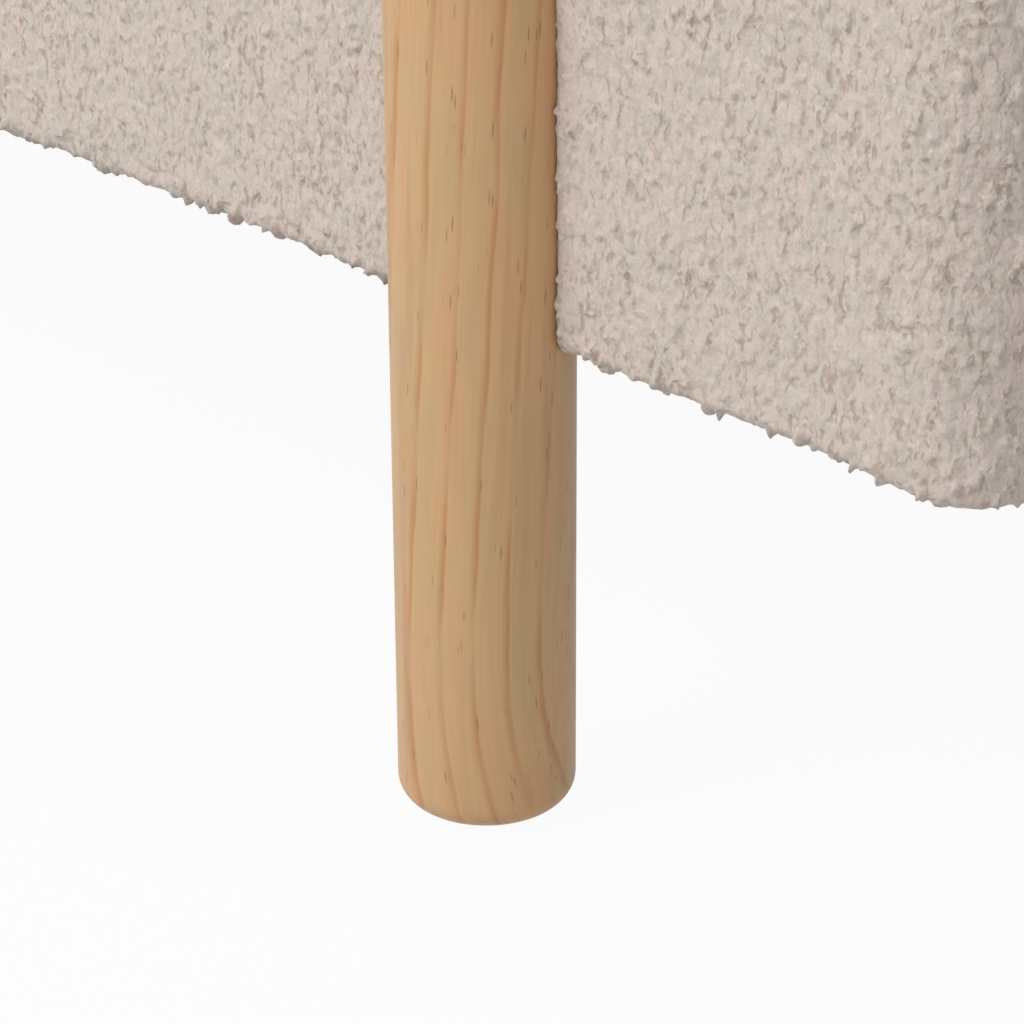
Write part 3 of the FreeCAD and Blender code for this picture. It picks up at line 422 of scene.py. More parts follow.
def wool_boucle():
    """Polyester and wool boucle, woven from looped yarn: a fleecy pile of curls a little taller than wide,
    with short clefts between them darkened in the colour as painted shade, pale glints on single fibres
    painted into the colour as highlights, and a soft sheen at grazing angles."""
    material, tree, shader = surface(
        "wool_boucle", Roughness=0.92, Sheen_Weight=0.3, Sheen_Roughness=0.55, Specular_IOR_Level=0.15,
    )
    metres = add(tree, "TexCoord", {}, "Object")
    wander = add(tree, "TexNoise", {"Vector": metres, "Scale": 1 / (4 * MM), "Detail": 2.0}, "Color")
    wander = add(tree, "VectorMath", {0: wander, 1: (0.5, 0.5, 0.5)}, operation="SUBTRACT")
    bent = add(tree, "VectorMath", {0: wander, 1: (3 * MM,) * 3, 2: metres}, operation="MULTIPLY_ADD")
    tall = add(tree, "VectorMath", {0: bent, 1: (1, 1, 0.54)}, operation="MULTIPLY")
    noise = {}
    # name, coordinates, size in millimetres, detail
    sizes = (
        ("yarn", bent, 0.85, 3), ("painted_glint", bent, 1.0, 1), ("curls", tall, 1.7, 1), ("cleft", tall, 1.75, 1),
        ("tone", tall, 4.5, 2), ("patch", tall, 6, 1),
    )
    for name, coords, size, detail in sizes:
        inputs = {"Vector": coords, "Scale": 1 / (size * MM), "Detail": detail, "Roughness": 0.6}
        noise[name] = add(tree, "TexNoise", inputs)
    inputs = {"Vector": tall, "Scale": 1 / (2.7 * MM), "Smoothness": 0.35}
    loops = add(tree, "TexVoronoi", inputs, "Distance", feature="SMOOTH_F1")

    thread = add(tree, "MapRange", {0: noise["cleft"], 1: 0.53, 2: 0.36}, **SMOOTH)
    edge = add(tree, "MapRange", {0: loops, 1: 0.28, 2: 0.62}, **SMOOTH)
    patch = add(tree, "MapRange", {0: noise["patch"], 1: 0.38, 2: 0.58, 3: 0.45, 4: 1.0}, **SMOOTH)
    cleft = add(tree, "Math", {0: thread, 1: edge}, operation="MULTIPLY")
    cleft = add(tree, "Math", {0: cleft, 1: patch}, operation="MULTIPLY")
    # painted shade: the clefts between the loops are darkened in the colour, standing in for their shadow
    painted_shade = add(tree, "Math", {0: cleft, 1: 0.43}, operation="MULTIPLY")
    fibre = add(tree, "MapRange", {0: noise["yarn"], 1: 0.25, 2: 0.75, 3: 0.91, 4: 1.07}, **SMOOTH)
    # painted highlight: pale glints on single fibres are painted into the colour
    painted_glint = add(tree, "MapRange", {0: noise["painted_glint"], 1: 0.66, 2: 0.76, 3: 0.0, 4: 0.5}, **SMOOTH)

    wool = add(tree, "ValToRGB", {0: noise["tone"]}, stops=((0.36, "#d0c6bb"), (0.64, "#dac9c0")))
    wool = add(tree, "VectorMath", {0: wool, "Scale": fibre}, operation="SCALE")
    wool = add(tree, "Mix", {0: painted_glint, 6: wool, 7: linear("#efe9e3")}, 2, **COLOUR_MIX)
    # mixes the painted cleft shade, a dark brown, into the wool colour
    wool = add(tree, "Mix", {0: painted_shade, 6: wool, 7: linear("#92765f")}, 2, **COLOUR_MIX)
    tree.links.new(wool, shader["Base Color"])

    height = add(tree, "Math", {0: cleft, 1: -0.45}, operation="MULTIPLY")
    for part, share in ((loops, -1.15), (noise["curls"], 0.6), (noise["yarn"], 0.35)):
        height = add(tree, "Math", {0: part, 1: share, 2: height}, operation="MULTIPLY_ADD")
    bump = add(tree, "Bump", {"Strength": 0.62, "Distance": 0.9 * MM, "Height": height})
    tree.links.new(bump, shader["Normal"])
    return material


RING = 8.8 * MM  # from one line of latewood to the next
RINGS_LEFT = 40.0  # added to the count so that it is never negative


def lacquered_pine():
    """Turned and sanded radiata pine under clear matt lacquer: wide pale earlywood, thin orange latewood
    lines, greyer streaks, fine fibres, and rows of short dark resin ducts beside the lines. It reads the
    grain attribute: across the rings, along them, and up."""
    material, tree, shader = surface(
        "lacquered_pine", Roughness=0.5, Coat_Weight=0.08, Coat_Roughness=0.35, Specular_IOR_Level=0.32,
    )
    grain = add(tree, "Attribute", {}, "Vector", attribute_name="grain")
    board = add(tree, "VectorMath", {0: grain, 1: (1, 1, 0.2)}, operation="MULTIPLY")
    strands = add(tree, "VectorMath", {0: grain, 1: (1, 1, 0.03)}, operation="MULTIPLY")
    noise = {}
    # name, coordinates, size in millimetres, detail
    sizes = (
        ("drift", board, 20, 2), ("wobble", board, 5, 1), ("strength", board, 7, 1), ("tone", board, 11, 2),
        ("fibres", strands, 0.9, 3), ("streaks", strands, 4.5, 2),
    )
    for name, coords, size, detail in sizes:
        inputs = {"Vector": coords, "Scale": 1 / (size * MM), "Detail": detail}
        noise[name] = add(tree, "TexNoise", inputs)

    across = add(tree, "SeparateXYZ", {0: grain})
    across = add(tree, "Math", {0: noise["drift"], 1: 2.4 * MM, 2: across}, operation="MULTIPLY_ADD")
    across = add(tree, "Math", {0: noise["wobble"], 1: 1.3 * MM, 2: across}, operation="MULTIPLY_ADD")
    rings = add(tree, "Math", {0: across, 1: 1 / RING, 2: RINGS_LEFT}, operation="MULTIPLY_ADD")
    share = add(tree, "Math", {0: rings}, operation="FRACT")
    darker = add(tree, "MapRange", {0: share, 1: 0.66, 2: 0.91}, **SMOOTH)
    paler = add(tree, "MapRange", {0: share, 1: 1.0, 2: 0.93}, **SMOOTH)
    latewood = add(tree, "Math", {0: darker, 1: paler}, operation="MINIMUM")
    latewood = add(tree, "Math", {0: latewood, 1: 1.6}, operation="POWER")
    strength = add(tree, "MapRange", {0: noise["strength"], 1: 0.34, 2: 0.62, 3: 0.2, 4: 0.68}, **SMOOTH)
    latewood = add(tree, "Math", {0: latewood, 1: strength}, operation="MULTIPLY")

    stops = ((0.38, "#ccaa7e"), (0.5, "#d1ab7e"), (0.62, "#d4a87c"))
    wood = add(tree, "ValToRGB", {0: noise["tone"]}, stops=stops)
    wood = add(tree, "Mix", {0: latewood, 6: wood, 7: linear("#bd8452")}, 2, **COLOUR_MIX)
    streak = add(tree, "MapRange", {0: noise["streaks"], 1: 0.5, 2: 0.68, 3: 0.0, 4: 0.3}, **SMOOTH)
    wood = add(tree, "Mix", {0: streak, 6: wood, 7: linear("#b89170")}, 2, **COLOUR_MIX)
    tone = add(tree, "MapRange", {0: noise["fibres"], 1: 0.3, 2: 0.7, 3: 0.97, 4: 1.03}, **SMOOTH)
    wood = add(tree, "VectorMath", {0: wood, "Scale": tone}, operation="SCALE")
    cells = add(tree, "VectorMath", {0: grain, 1: (1, 1, 0.1)}, operation="MULTIPLY")
    ducts = add(tree, "TexVoronoi", {"Vector": cells, "Scale": 1 / (1.5 * MM)}, "Distance")
    ducts = add(tree, "MapRange", {0: ducts, 1: 0.09, 2: 0.2, 3: 0.6, 4: 0.0}, **SMOOTH)
    beside = add(tree, "MapRange", {0: share, 1: 0.35, 2: 0.6}, **SMOOTH)
    ducts = add(tree, "Math", {0: ducts, 1: beside}, operation="MULTIPLY")
    wood = add(tree, "Mix", {0: ducts, 6: wood, 7: linear("#86663f")}, 2, **COLOUR_MIX)
    tree.links.new(wood, shader["Base Color"])
    bump = add(tree, "Bump", {"Strength": 0.25, "Distance": 0.08 * MM, "Height": noise["fibres"]})
    tree.links.new(bump, shader["Normal"])
    return material


def sawn_timber():
    """Planed softwood and birch plywood inside the upholstery: straight dull grain, no finish."""
    material, tree, shader = surface("sawn_timber", Roughness=0.75, Specular_IOR_Level=0.3)
    metres = add(tree, "TexCoord", {}, "Object")
    along_y = add(tree, "VectorMath", {0: metres, 1: (1, 0.2, 1)}, operation="MULTIPLY")
    grain = add(tree, "TexNoise", {"Vector": along_y, "Scale": 1 / (3 * MM), "Detail": 4.0})
    wood = add(tree, "ValToRGB", {0: grain}, stops=((0.3, "#b98d5c"), (0.5, "#caa273"), (0.7, "#d9b68a")))
    tree.links.new(wood, shader["Base Color"])
    bump = add(tree, "Bump", {"Strength": 0.4, "Distance": 0.2 * MM, "Height": grain})
    tree.links.new(bump, shader["Normal"])
    return material


def hardboard():
    """Thin brown hardboard: pressed fibre with fine dark flecks."""
    material, tree, shader = surface("hardboard", Roughness=0.6)
    metres = add(tree, "TexCoord", {}, "Object")
    fleck = add(tree, "TexNoise", {"Vector": metres, "Scale": 1 / (1.2 * MM), "Detail": 3.0})
    brown = add(tree, "ValToRGB", {0: fleck}, stops=((0.35, "#6f4d31"), (0.6, "#8a6443")))
    tree.links.new(brown, shader["Base Color"])
    return material


def woven(name, dark, light, thread, roughness):
    """Cloth of two sets of threads that cross, drawn as two waves with the threads' spacing in metres."""
    material, tree, shader = surface(name, Roughness=roughness, Sheen_Weight=0.2, Specular_IOR_Level=0.2)
    metres = add(tree, "TexCoord", {}, "Object")
    wave = {"Vector": metres, "Scale": 1 / (6 * thread)}
    across = add(tree, "TexWave", wave, "Fac", bands_direction="X")
    along_it = add(tree, "TexWave", wave, "Fac", bands_direction="DIAGONAL")
    weave = add(tree, "Math", {0: across, 1: along_it}, operation="MULTIPLY")
    colour = add(tree, "ValToRGB", {0: weave}, stops=((0.0, dark), (1.0, light)))
    tree.links.new(colour, shader["Base Color"])
    bump = add(tree, "Bump", {"Strength": 0.5, "Distance": 0.3 * MM, "Height": weave})
    tree.links.new(bump, shader["Normal"])
    return material


def steel(name, dark, light, roughness):
    """Drawn or zinc-plated steel wire and bolts: cool grey, a little uneven in tone."""
    material, tree, shader = surface(name, Metallic=1.0, Roughness=roughness)
    metres = add(tree, "TexCoord", {}, "Object")
    cloud = add(tree, "TexNoise", {"Vector": metres, "Scale": 1 / (6 * MM), "Detail": 3.0})
    grey = add(tree, "ValToRGB", {0: cloud}, stops=((0.35, dark), (0.65, light)))
    tree.links.new(grey, shader["Base Color"])
    return material


def moulded_nylon():
    """Black moulded nylon, with a faint pebble from the mould."""
    material, tree, shader = surface("moulded_nylon", Roughness=0.45)
    metres = add(tree, "TexCoord", {}, "Object")
    pebble = add(tree, "TexNoise", {"Vector": metres, "Scale": 1 / (0.8 * MM), "Detail": 2.0})
    black = add(tree, "ValToRGB", {0: pebble}, stops=((0.3, "#151515"), (0.7, "#242424")))
    tree.links.new(black, shader["Base Color"])
    bump = add(tree, "Bump", {"Strength": 0.3, "Distance": 0.1 * MM, "Height": pebble})
    tree.links.new(bump, shader["Normal"])
    return material


BOUCLE = wool_boucle()
PINE = lacquered_pine()
LINING = woven("spunbond_lining", "#141414", "#2a2a2b", 1.2 * MM, 0.9)
PLATFORM = woven("platform_cloth", "#857c70", "#a89e91", 1.0 * MM, 0.9)


# ---- posts ----
# The rings lean a little to the left as they go down, then sweep to the right over the lowest part.
LEAN, SWEEP, SWEEP_HEIGHT = 0.0536, 9.9 * MM, 75 * MM
SWEEP_ACROSS, SWEEP_POWER = 0.18, 2.2  # how much more the far rings sweep, and how sharply it sets in
FIRST_RING = -2.35 * MM
POST_SIDES = 144
FINE_TOP = 0.13  # a post's mesh is finer below this height above its foot
BOARD_STEP = 0.3  # each post is cut this much further along the board


def post(node, turn, lift):
    """A turned post: a circle carried up a straight profile with a quarter circle at each end. The grain
    runs up it, the rings lean over towards the foot, and turn and lift say which part of the board it is."""
    low, high = corners(node)
    centre, r = (low + high)[:2] / 2, (high[0] - low[0]) / 2
    z0, z1, e = low[2], high[2], POST_EDGE
    profile = joined(
        line((0.0, z0), (r - e, z0), 3 * MM), arc((r - e, z0 + e), e, -90, 0, 0.8 * MM),
        line((r, z0 + e), (r, z0 + FINE_TOP), 2.5 * MM),
        line((r, z0 + FINE_TOP), (r, z1 - e), 9 * MM),
        arc((r - e, z1 - e), e, 0, 90, 0.8 * MM), line((r - e, z1), (0.0, z1), 3 * MM),
    )
    angle = np.linspace(0, 2 * math.pi, POST_SIDES, endpoint=False)
    radius, height = profile[:, :1], profile[:, 1:]
    x, y = radius * np.cos(angle), radius * np.sin(angle)
    points = np.stack([centre[0] + x, centre[1] + y, np.broadcast_to(height, x.shape)], axis=-1)
    ca, sa = math.cos(turn), math.sin(turn)
    u, v = x * ca + y * sa, y * ca - x * sa
    rise = points[..., 2] - z0
    sweep = (SWEEP + SWEEP_ACROSS * u) * np.clip(1 - rise / SWEEP_HEIGHT, 0, 1) ** SWEEP_POWER
    grain = np.stack([u + LEAN * (z1 - z0 - rise) - sweep + FIRST_RING, v, rise + lift], axis=-1)
    obj = mesh_object(node + "_turned", points, grid_faces(*points.shape[:2], wrap=True), PINE, grain)
    merged(obj)
    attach(obj, "frame")
    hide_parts(node)


# ---- arms ----
SEEN_HEIGHT = 175 * MM  # rows are fine up to here, where the fabric is seen closely
PANEL_SWELLING, SIDE_SWELLING, INNER_SWELLING = 1.2 * MM, 3.5 * MM, 0.6 * MM
ARM_CROWN = 6 * MM
TOP_SPACING = 4.5 * MM
ALL_ROUND = 7.999  # the last station, a hair short of where the first one is


def arm_stations(first, last, spacing):
    """Stations from one to another, closer together on short stretches, at least as close as spacing."""
    size = ARM_HIGH - ARM_LOW
    corner = math.pi / 2 * ARM_CORNER
    lengths = [size[0], corner, size[1], corner, size[0], corner, size[1], corner]
    found = []
    for k in range(8):
        a, b = max(first, k), min(last, k + 1)
        if b > a:
            found.append(np.linspace(a, b, max(3, int((b - a) * lengths[k] / spacing) + 1), endpoint=False))
    return np.concatenate(found + [[last]]) if last < 8 else np.concatenate(found)


def hem_profile(spacing, top):
    """Inset and height of a wall: turned under, round the bottom edge, and up to the top seam."""
    z0 = ARM_LOW[2] - HEM_DROP
    return joined(
        line((HEM_WIDTH, z0), (HEM_EDGE, z0), 2 * MM),
        arc((HEM_EDGE, z0 + HEM_EDGE), HEM_EDGE, 270, 180, min(0.65 * spacing, 1.5 * MM)),
        line((0, z0 + HEM_EDGE), (0, top), spacing),
    )


def graded_rows(spacing):
    """The wall profile with fine rows low down, where it is seen closely, and coarser rows above."""
    seam = ARM_HIGH[2] - ARM_TOP_EDGE
    knee = ARM_LOW[2] + SEEN_HEIGHT
    if spacing > FINE:
        return hem_profile(spacing, seam)
    return joined(hem_profile(spacing, knee), line((0, knee), (0, seam), 5 * MM))


def arm(side):
    """An arm's upholstery: front, outer, rear and inner panels sewn to a domed top panel."""
    mirror = side == "left"
    spacing = MEDIUM if mirror else FINE
    radii = (ARM_CORNER, ARM_CORNER, ARM_INNER_CORNER, ARM_INNER_CORNER)
    side_length = (ARM_HIGH - ARM_LOW)[1] - 2 * ARM_CORNER
    wrap_share = WRAP / side_length
    walls = {
        "front_panel": (0, 2 + wrap_share, spacing, PANEL_SWELLING, ("right", "high")),
        "outer_panel": (2 + wrap_share, 3 - wrap_share, COARSE, SIDE_SWELLING, ("left", "right", "high")),
        "rear_panel": (3 - wrap_share, 5, MEDIUM, PANEL_SWELLING, ("left", "high")),
        "inner_panel": (5, ALL_ROUND, COARSE, INNER_SWELLING, ("high",)),
    }
    for part, (first, last, step, swelling, borders) in walls.items():
        profile = graded_rows(step)
        points = sagged(shell(arm_stations(first, last, step), profile, ARM_LOW, ARM_HIGH, radii))
        upholster(f"arm_{side}_{part}", points, step, swelling, borders, mirror)
    e, z1 = ARM_TOP_EDGE, ARM_HIGH[2]
    half = (ARM_HIGH - ARM_LOW)[0] / 2
    profile = joined(arc((e, z1 - e), e, 180, 90, 3 * MM), line((e, z1), (half, z1), 5 * MM))
    points = shell(arm_stations(0, 8, TOP_SPACING), profile, ARM_LOW, ARM_HIGH, radii)
    points[..., 2] += ARM_CROWN * crown(points[..., :2], ARM_LOW[:2], ARM_HIGH[:2])
    top = upholster(f"arm_{side}_top_panel", points, TOP_SPACING, 0, ("low",), mirror, wrap=True)
    merged(top)
    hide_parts(f"arm_{side}_cover", f"arm_{side}_foam")


# ---- seat base ----
SEEN_LENGTH, GRADING = 235 * MM, 60 * MM  # the finely meshed end of the rail, and the step down to it
SEEN_RAIL = 112 * MM
RAIL_SWELLING = 1.0 * MM
HEM_LAP = 4 * MM  # the dust cloths and the turned-under fabric overlap by this much
DECK_SAG, DUST_SAG = 2.5 * MM, 1.5 * MM
SHEET_SPACING = 12 * MM
DECK_LIFT = 0.2 * MM  # the deck lining lies this far above the cloth that it replaces
BACK_GAP = 1 * MM  # the base's dust cloth ends this far short of the back


def front_rail():
    """The padded front rail: one section carried along X, fine at the right-hand end beside the post."""
    x0, x1 = RAIL_LOW[0], RAIL_HIGH[0]
    near = x1 - SEEN_LENGTH
    coarse, graded = steps(x0, near - GRADING, COARSE), steps(near - GRADING, near, 2 * MM)
    xs = joined(coarse, graded, steps(near, x1, FINE))
    z0, y0, top = RAIL_LOW[2] - HEM_DROP, RAIL_LOW[1], RAIL_HIGH[2]
    h, t = HEM_EDGE, RAIL_TOP_EDGE
    section = joined(
        line((y0 + HEM_WIDTH, z0), (y0 + h, z0), 2 * MM), arc((y0 + h, z0 + h), h, 270, 180, 1 * MM),
        line((y0, z0 + h), (y0, z0 + SEEN_RAIL), FINE), line((y0, z0 + SEEN_RAIL), (y0, top - t), 3 * MM),
        arc((y0 + t, top - t), t, 180, 90, 2.5 * MM), line((y0 + t, top), (RAIL_HIGH[1], top), 5 * MM),
    )
    points = np.stack(np.broadcast_arrays(xs[None, :], section[:, :1], section[:, 1:]), axis=-1)
    piece = upholster("base_front_panel", points, FINE, RAIL_SWELLING)
    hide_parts("base_front_cover", "base_front_foam")


def cloth_plane(name, low, high, level, sag, facing, material, nodes):
    """A stretched cloth: flat at its edges, sagging in a parabola both ways, and facing up or down."""
    xs, ys = steps(low[0], high[0], SHEET_SPACING), steps(low[1], high[1], SHEET_SPACING)
    x, y = np.meshgrid(xs[::facing], ys)
    a = 1 - (2 * (x - low[0]) / (high[0] - low[0]) - 1) ** 2
    b = 1 - (2 * (y - low[1]) / (high[1] - low[1]) - 1) ** 2
    points = np.stack([x, y, level - sag * a * b], axis=-1)
    obj = mesh_object(name, points, grid_faces(*points.shape[:2]), material)
    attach(obj, "frame")
    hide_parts(*nodes)


def linings():
    """The deck cloth over the springs, and the black dust cloths tacked underneath."""
    low, high = corners("deck_cloth")
    rails, replaced = ["base_front_rail", "base_rear_rail"], ["deck_cloth", "spring_pad"]
    cloth_plane("deck_lining", low, high, high[2] + DECK_LIFT, DECK_SAG, 1, PLATFORM, replaced)
    level = corners("dust_cloths")[0][2]
    inner = RAIL_HIGH[0]
    hem = HEM_WIDTH - HEM_LAP
    spans = (
        ("base", (-inner, RAIL_LOW[1] + hem), (inner, BACK_LOW[1] - BACK_GAP), rails),
        ("back", (BACK_LOW[0] + hem, BACK_LOW[1] + hem), (BACK_HIGH[0] - hem, BACK_HIGH[1] - hem),
         ["back_low_rail"]),
        ("right", (ARM_LOW[0] + hem, ARM_LOW[1] + hem), (ARM_HIGH[0] - hem, ARM_HIGH[1] - hem),
         ["arm_right_bottom_board"]),
        ("left", (-ARM_HIGH[0] + hem, ARM_LOW[1] + hem), (-ARM_LOW[0] - hem, ARM_HIGH[1] - hem),
         ["arm_left_bottom_board"]),
    )
    for part, a, b, boards in spans:
        cloth_plane(f"dust_lining_{part}", a, b, level, DUST_SAG, -1, LINING, ["dust_cloths"])


# ---- back ----
BACK_LOW_CORNER = 6 * MM
BACK_CROWN = 4 * MM
BACK_SPACING = 7.5 * MM
# lengths of the low and the top corners' arcs, about a quarter turn of their radii
LOW_ARC, TOP_ARC = 10 * MM, 70 * MM


def back():
    """The back as outlines stacked from its rear face to its front, then leaned so that it thins upwards."""
    size = BACK_HIGH - BACK_LOW
    low, high = BACK_LOW[[0, 2]], BACK_HIGH[[0, 2]]
    e, rear, depth, half = BACK_EDGE, BACK_HIGH[1], size[1], size[2] / 2
    profile = joined(
        line((half, 0), (e, 0), 7 * MM), arc((e, e), e, 270, 180, 3 * MM),
        line((0, e), (0, depth - e), 6 * MM), arc((e, depth - e), e, 180, 90, 3 * MM),
        line((e, depth), (half, depth), 7 * MM),
    )
    lengths = [size[0], LOW_ARC, size[2], TOP_ARC, size[0], TOP_ARC, size[2], LOW_ARC]
    stations = np.concatenate([
        np.linspace(k, k + 1, max(3, int(lengths[k] / BACK_SPACING)), endpoint=False) for k in range(8)
    ])
    radii = (BACK_LOW_CORNER, BACK_TOP_CORNER, BACK_TOP_CORNER, BACK_LOW_CORNER)
    points = shell(stations, profile, low, high, radii)
    x, z, deep = points[..., 0], points[..., 1], points[..., 2]
    slope = (back_cushion_face(BACK_HIGH[2]) - back_cushion_face(DECK_LEVEL)) / (BACK_HIGH[2] - DECK_LEVEL)
    thin = 1 - slope * np.clip(z - DECK_LEVEL, 0, None) / depth
    facing = 2 * deep / depth - 1
    rise = BACK_CROWN * facing * crown(points[..., :2], low, high)
    points = np.stack([x, rear - deep * thin - rise, z], axis=-1)
    piece = merged(upholster("back_upholstery", points, COARSE, wrap=True))
    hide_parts("back_cover", "back_foam")


def back_cushion_face(z):
    """The Y of the back's front face at a height: straight from the deck up to the top."""
    low, high = corners("back_webbing")
    slope = (high[1] - low[1]) / (high[2] - low[2])
    return BACK_LOW[1] + slope * max(0, z - DECK_LEVEL)


# ---- cushions ----
CUSHION_SEAM_DEPTH, CUSHION_SEAM_WIDTH = 3.5 * MM, 3.5 * MM
CUSHION_SPACING = 3.5 * MM
SEAM_INSET = 0.3  # the seams lie this share of the edge's radius in from the flat
CASE_SPACING, CASE_ARC = 8 * MM, 50 * MM
VOXEL = 7.6 * MM
HELD = 7 * MM  # the cloth is held this near a seam
PRESSURE, STIFFNESS, QUALITY, FRAMES = 7.0, 10, 4, 20
SIDEWAYS = 0.3  # share of the swelling that is kept in the cushion's plane
# the unswollen blanks against the cushions' own width, length and thickness
SEAT_TRIM, BACK_TRIM = np.array([-8, -8, 6]) * MM, np.array([-8, -6, 6]) * MM
SOLE = 4.9 * MM  # a seat cushion is flat underneath, this far above its box
SEAT_DROP = 5 * MM  # and it is lowered by this much first


def stuffed(size, corner, edge, swelling, pinch):
    """A cushion's points and faces about its own centre. A rounded box, thinner than its size by twice
    pinch, is remeshed evenly and blown up as cloth with its two seams held; the swelling is capped."""
    half = size / 2
    e = edge
    thin = half[2] - pinch
    reach = min(half[0], half[1])
    profile = joined(
        line((reach, -thin), (e, -thin), CASE_SPACING), arc((e, -thin + e), e, 270, 180, 3 * MM),
        line((0, -thin + e), (0, thin - e), CASE_SPACING), arc((e, thin - e), e, 180, 90, 3 * MM),
        line((e, thin), (reach, thin), CASE_SPACING),
    )
    lengths = [size[0], CASE_ARC, size[1], CASE_ARC] * 2
    stations = np.concatenate([
        np.linspace(k, k + 1, max(5, int(lengths[k] / CASE_SPACING)), endpoint=False) for k in range(8)
    ])
    points = shell(stations, profile, -half, half, (corner,) * 4)
    base = merged(mesh_object("cushion_blank", points, grid_faces(*points.shape[:2], wrap=True), BOUCLE))
    remesh = base.modifiers.new("even", "REMESH")
    remesh.mode, remesh.voxel_size = "VOXEL", VOXEL
    blank = evaluated(base)
    rest = coordinates(blank)
    seam = seam_distance(rest, half, thin, corner, e)
    group = blank.vertex_groups.new(name="seam")
    group.add(np.flatnonzero(seam < HELD).tolist(), 1.0, "REPLACE")
    cloth = blank.modifiers.new("cloth", "CLOTH")
    settings = cloth.settings
    settings.use_pressure, settings.uniform_pressure_force = True, PRESSURE
    settings.effector_weights.gravity = 0.0
    settings.vertex_group_mass = "seam"
    settings.quality = QUALITY
    settings.tension_stiffness = settings.compression_stiffness = STIFFNESS
    cloth.collision_settings.use_collision = False
    for step in range(1, FRAMES + 1):
        bpy.context.scene.frame_set(step)
    swollen = evaluated(blank)
    moved = coordinates(swollen)
    bpy.data.objects.remove(swollen)
    bpy.context.scene.frame_set(1)
    shift = moved - rest
    longest = np.linalg.norm(shift, axis=1, keepdims=True)
    shift *= np.minimum(1, swelling / np.maximum(longest, 1e-9))
    moved = rest + shift * (SIDEWAYS, SIDEWAYS, 1)
    faces = [tuple(p.vertices) for p in blank.data.polygons]
    for obj in (base, blank):
        bpy.data.objects.remove(obj)
    moved = refined(moved, faces)[0]
    rest, faces = refined(rest, faces)
    groove = np.exp(-(seam_distance(rest, half, thin, corner, e) / CUSHION_SEAM_WIDTH) ** 2)
    return moved, groove * CUSHION_SEAM_DEPTH, faces


def refined(points, faces):
    """The points and faces of a mesh after one level of subdivision."""
    mesh = bpy.data.meshes.new("coarse")
    mesh.from_pydata(points.tolist(), [], faces)
    raw = placed("coarse", mesh)
    finer = raw.modifiers.new("finer", "SUBSURF")
    finer.levels = finer.render_levels = 1
    fine = evaluated(raw)
    found = coordinates(fine), [tuple(p.vertices) for p in fine.data.polygons]
    for obj in (raw, fine):
        bpy.data.objects.remove(obj)
    return found


def evaluated(obj):
    """A new object whose mesh is obj with its modifiers applied."""
    graph = bpy.context.evaluated_depsgraph_get()
    mesh = bpy.data.meshes.new_from_object(obj.evaluated_get(graph))
    return placed(obj.name + "_made", mesh)


def coordinates(obj):
    """The places of a mesh's points as an array."""
    points = np.zeros(len(obj.data.vertices) * 3)
    obj.data.vertices.foreach_get("co", points)
    return points.reshape(-1, 3)


def seam_distance(points, half, thin, corner, edge):
    """Distance of each point from the two seams that run round the cushion near its top and bottom: the
    hypotenuse of the way to their outline, seen from above, and the height from the nearer one."""
    flat = np.abs(points[:, :2]) - (half[:2] - corner)
    out = np.linalg.norm(np.maximum(flat, 0), axis=1) + np.minimum(flat.max(axis=1), 0) - corner
    up = np.abs(np.abs(points[:, 2]) - (thin - edge * SEAM_INSET))
    return np.hypot(out + edge * SEAM_INSET, up)


def cushion(name, points, groove, faces, mirror):
    """A cushion from its swollen cloth: grooved along its seams, piled, and on its own body."""
    if mirror:
        points = points * (-1, 1, 1)
        faces = [f[::-1] for f in faces]
    mesh = bpy.data.meshes.new(name)
    mesh.from_pydata(points.tolist(), [], faces)
    mesh.update()
    normal = np.zeros(len(points) * 3)
    mesh.vertex_normals.foreach_get("vector", normal)
    lift = pile(points, CUSHION_SPACING) - groove
    points = points + normal.reshape(-1, 3) * lift[:, None]
    mesh.vertices.foreach_set("co", points.reshape(-1))
    mesh.materials.append(BOUCLE)
    mesh.shade_smooth()
    mesh.update()
    obj = placed(name, mesh)
    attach(obj, name)
    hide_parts(f"{name}_cover", f"{name}_filling")


def seat_cushions():
    """Two boxes of foam side by side on the deck, flat underneath."""
    low, high = corners("seat_cushion_right_cover")
    size = high - low + SEAT_TRIM
    points, groove, faces = stuffed(size, corner=32 * MM, edge=12 * MM, swelling=22 * MM, pinch=11 * MM)
    points = points + (low + high) / 2 - (0, 0, SEAT_DROP)
    points[:, 2] = np.maximum(points[:, 2], low[2] + SOLE)
    for side in ("right", "left"):
        cushion(f"seat_cushion_{side}", points, groove, faces, side == "left")


def back_cushions():
    """Made lying down, then stood up and leaned back against the sofa's back."""
    low, high = corners("back_cushion_right_cover")
    size = high - low
    rise = back_cushion_face(BACK_HIGH[2]) - back_cushion_face(DECK_LEVEL)
    tilt = math.atan2(rise, BACK_HIGH[2] - DECK_LEVEL)
    tall, thick = size[2], size[1]
    thick = (thick - tall * math.sin(tilt)) / math.cos(tilt)
    tall = (tall - thick * math.sin(tilt)) / math.cos(tilt)
    size = np.array([size[0], tall, thick]) + BACK_TRIM
    points, groove, faces = stuffed(size, corner=50 * MM, edge=14 * MM, swelling=26 * MM, pinch=26 * MM)
    turn = Matrix.Rotation(math.pi / 2 - tilt, 3, "X")
    points = points @ np.array(turn).T + (low + high) / 2
    for side in ("right", "left"):
        cushion(f"back_cushion_{side}", points, groove, faces, side == "left")


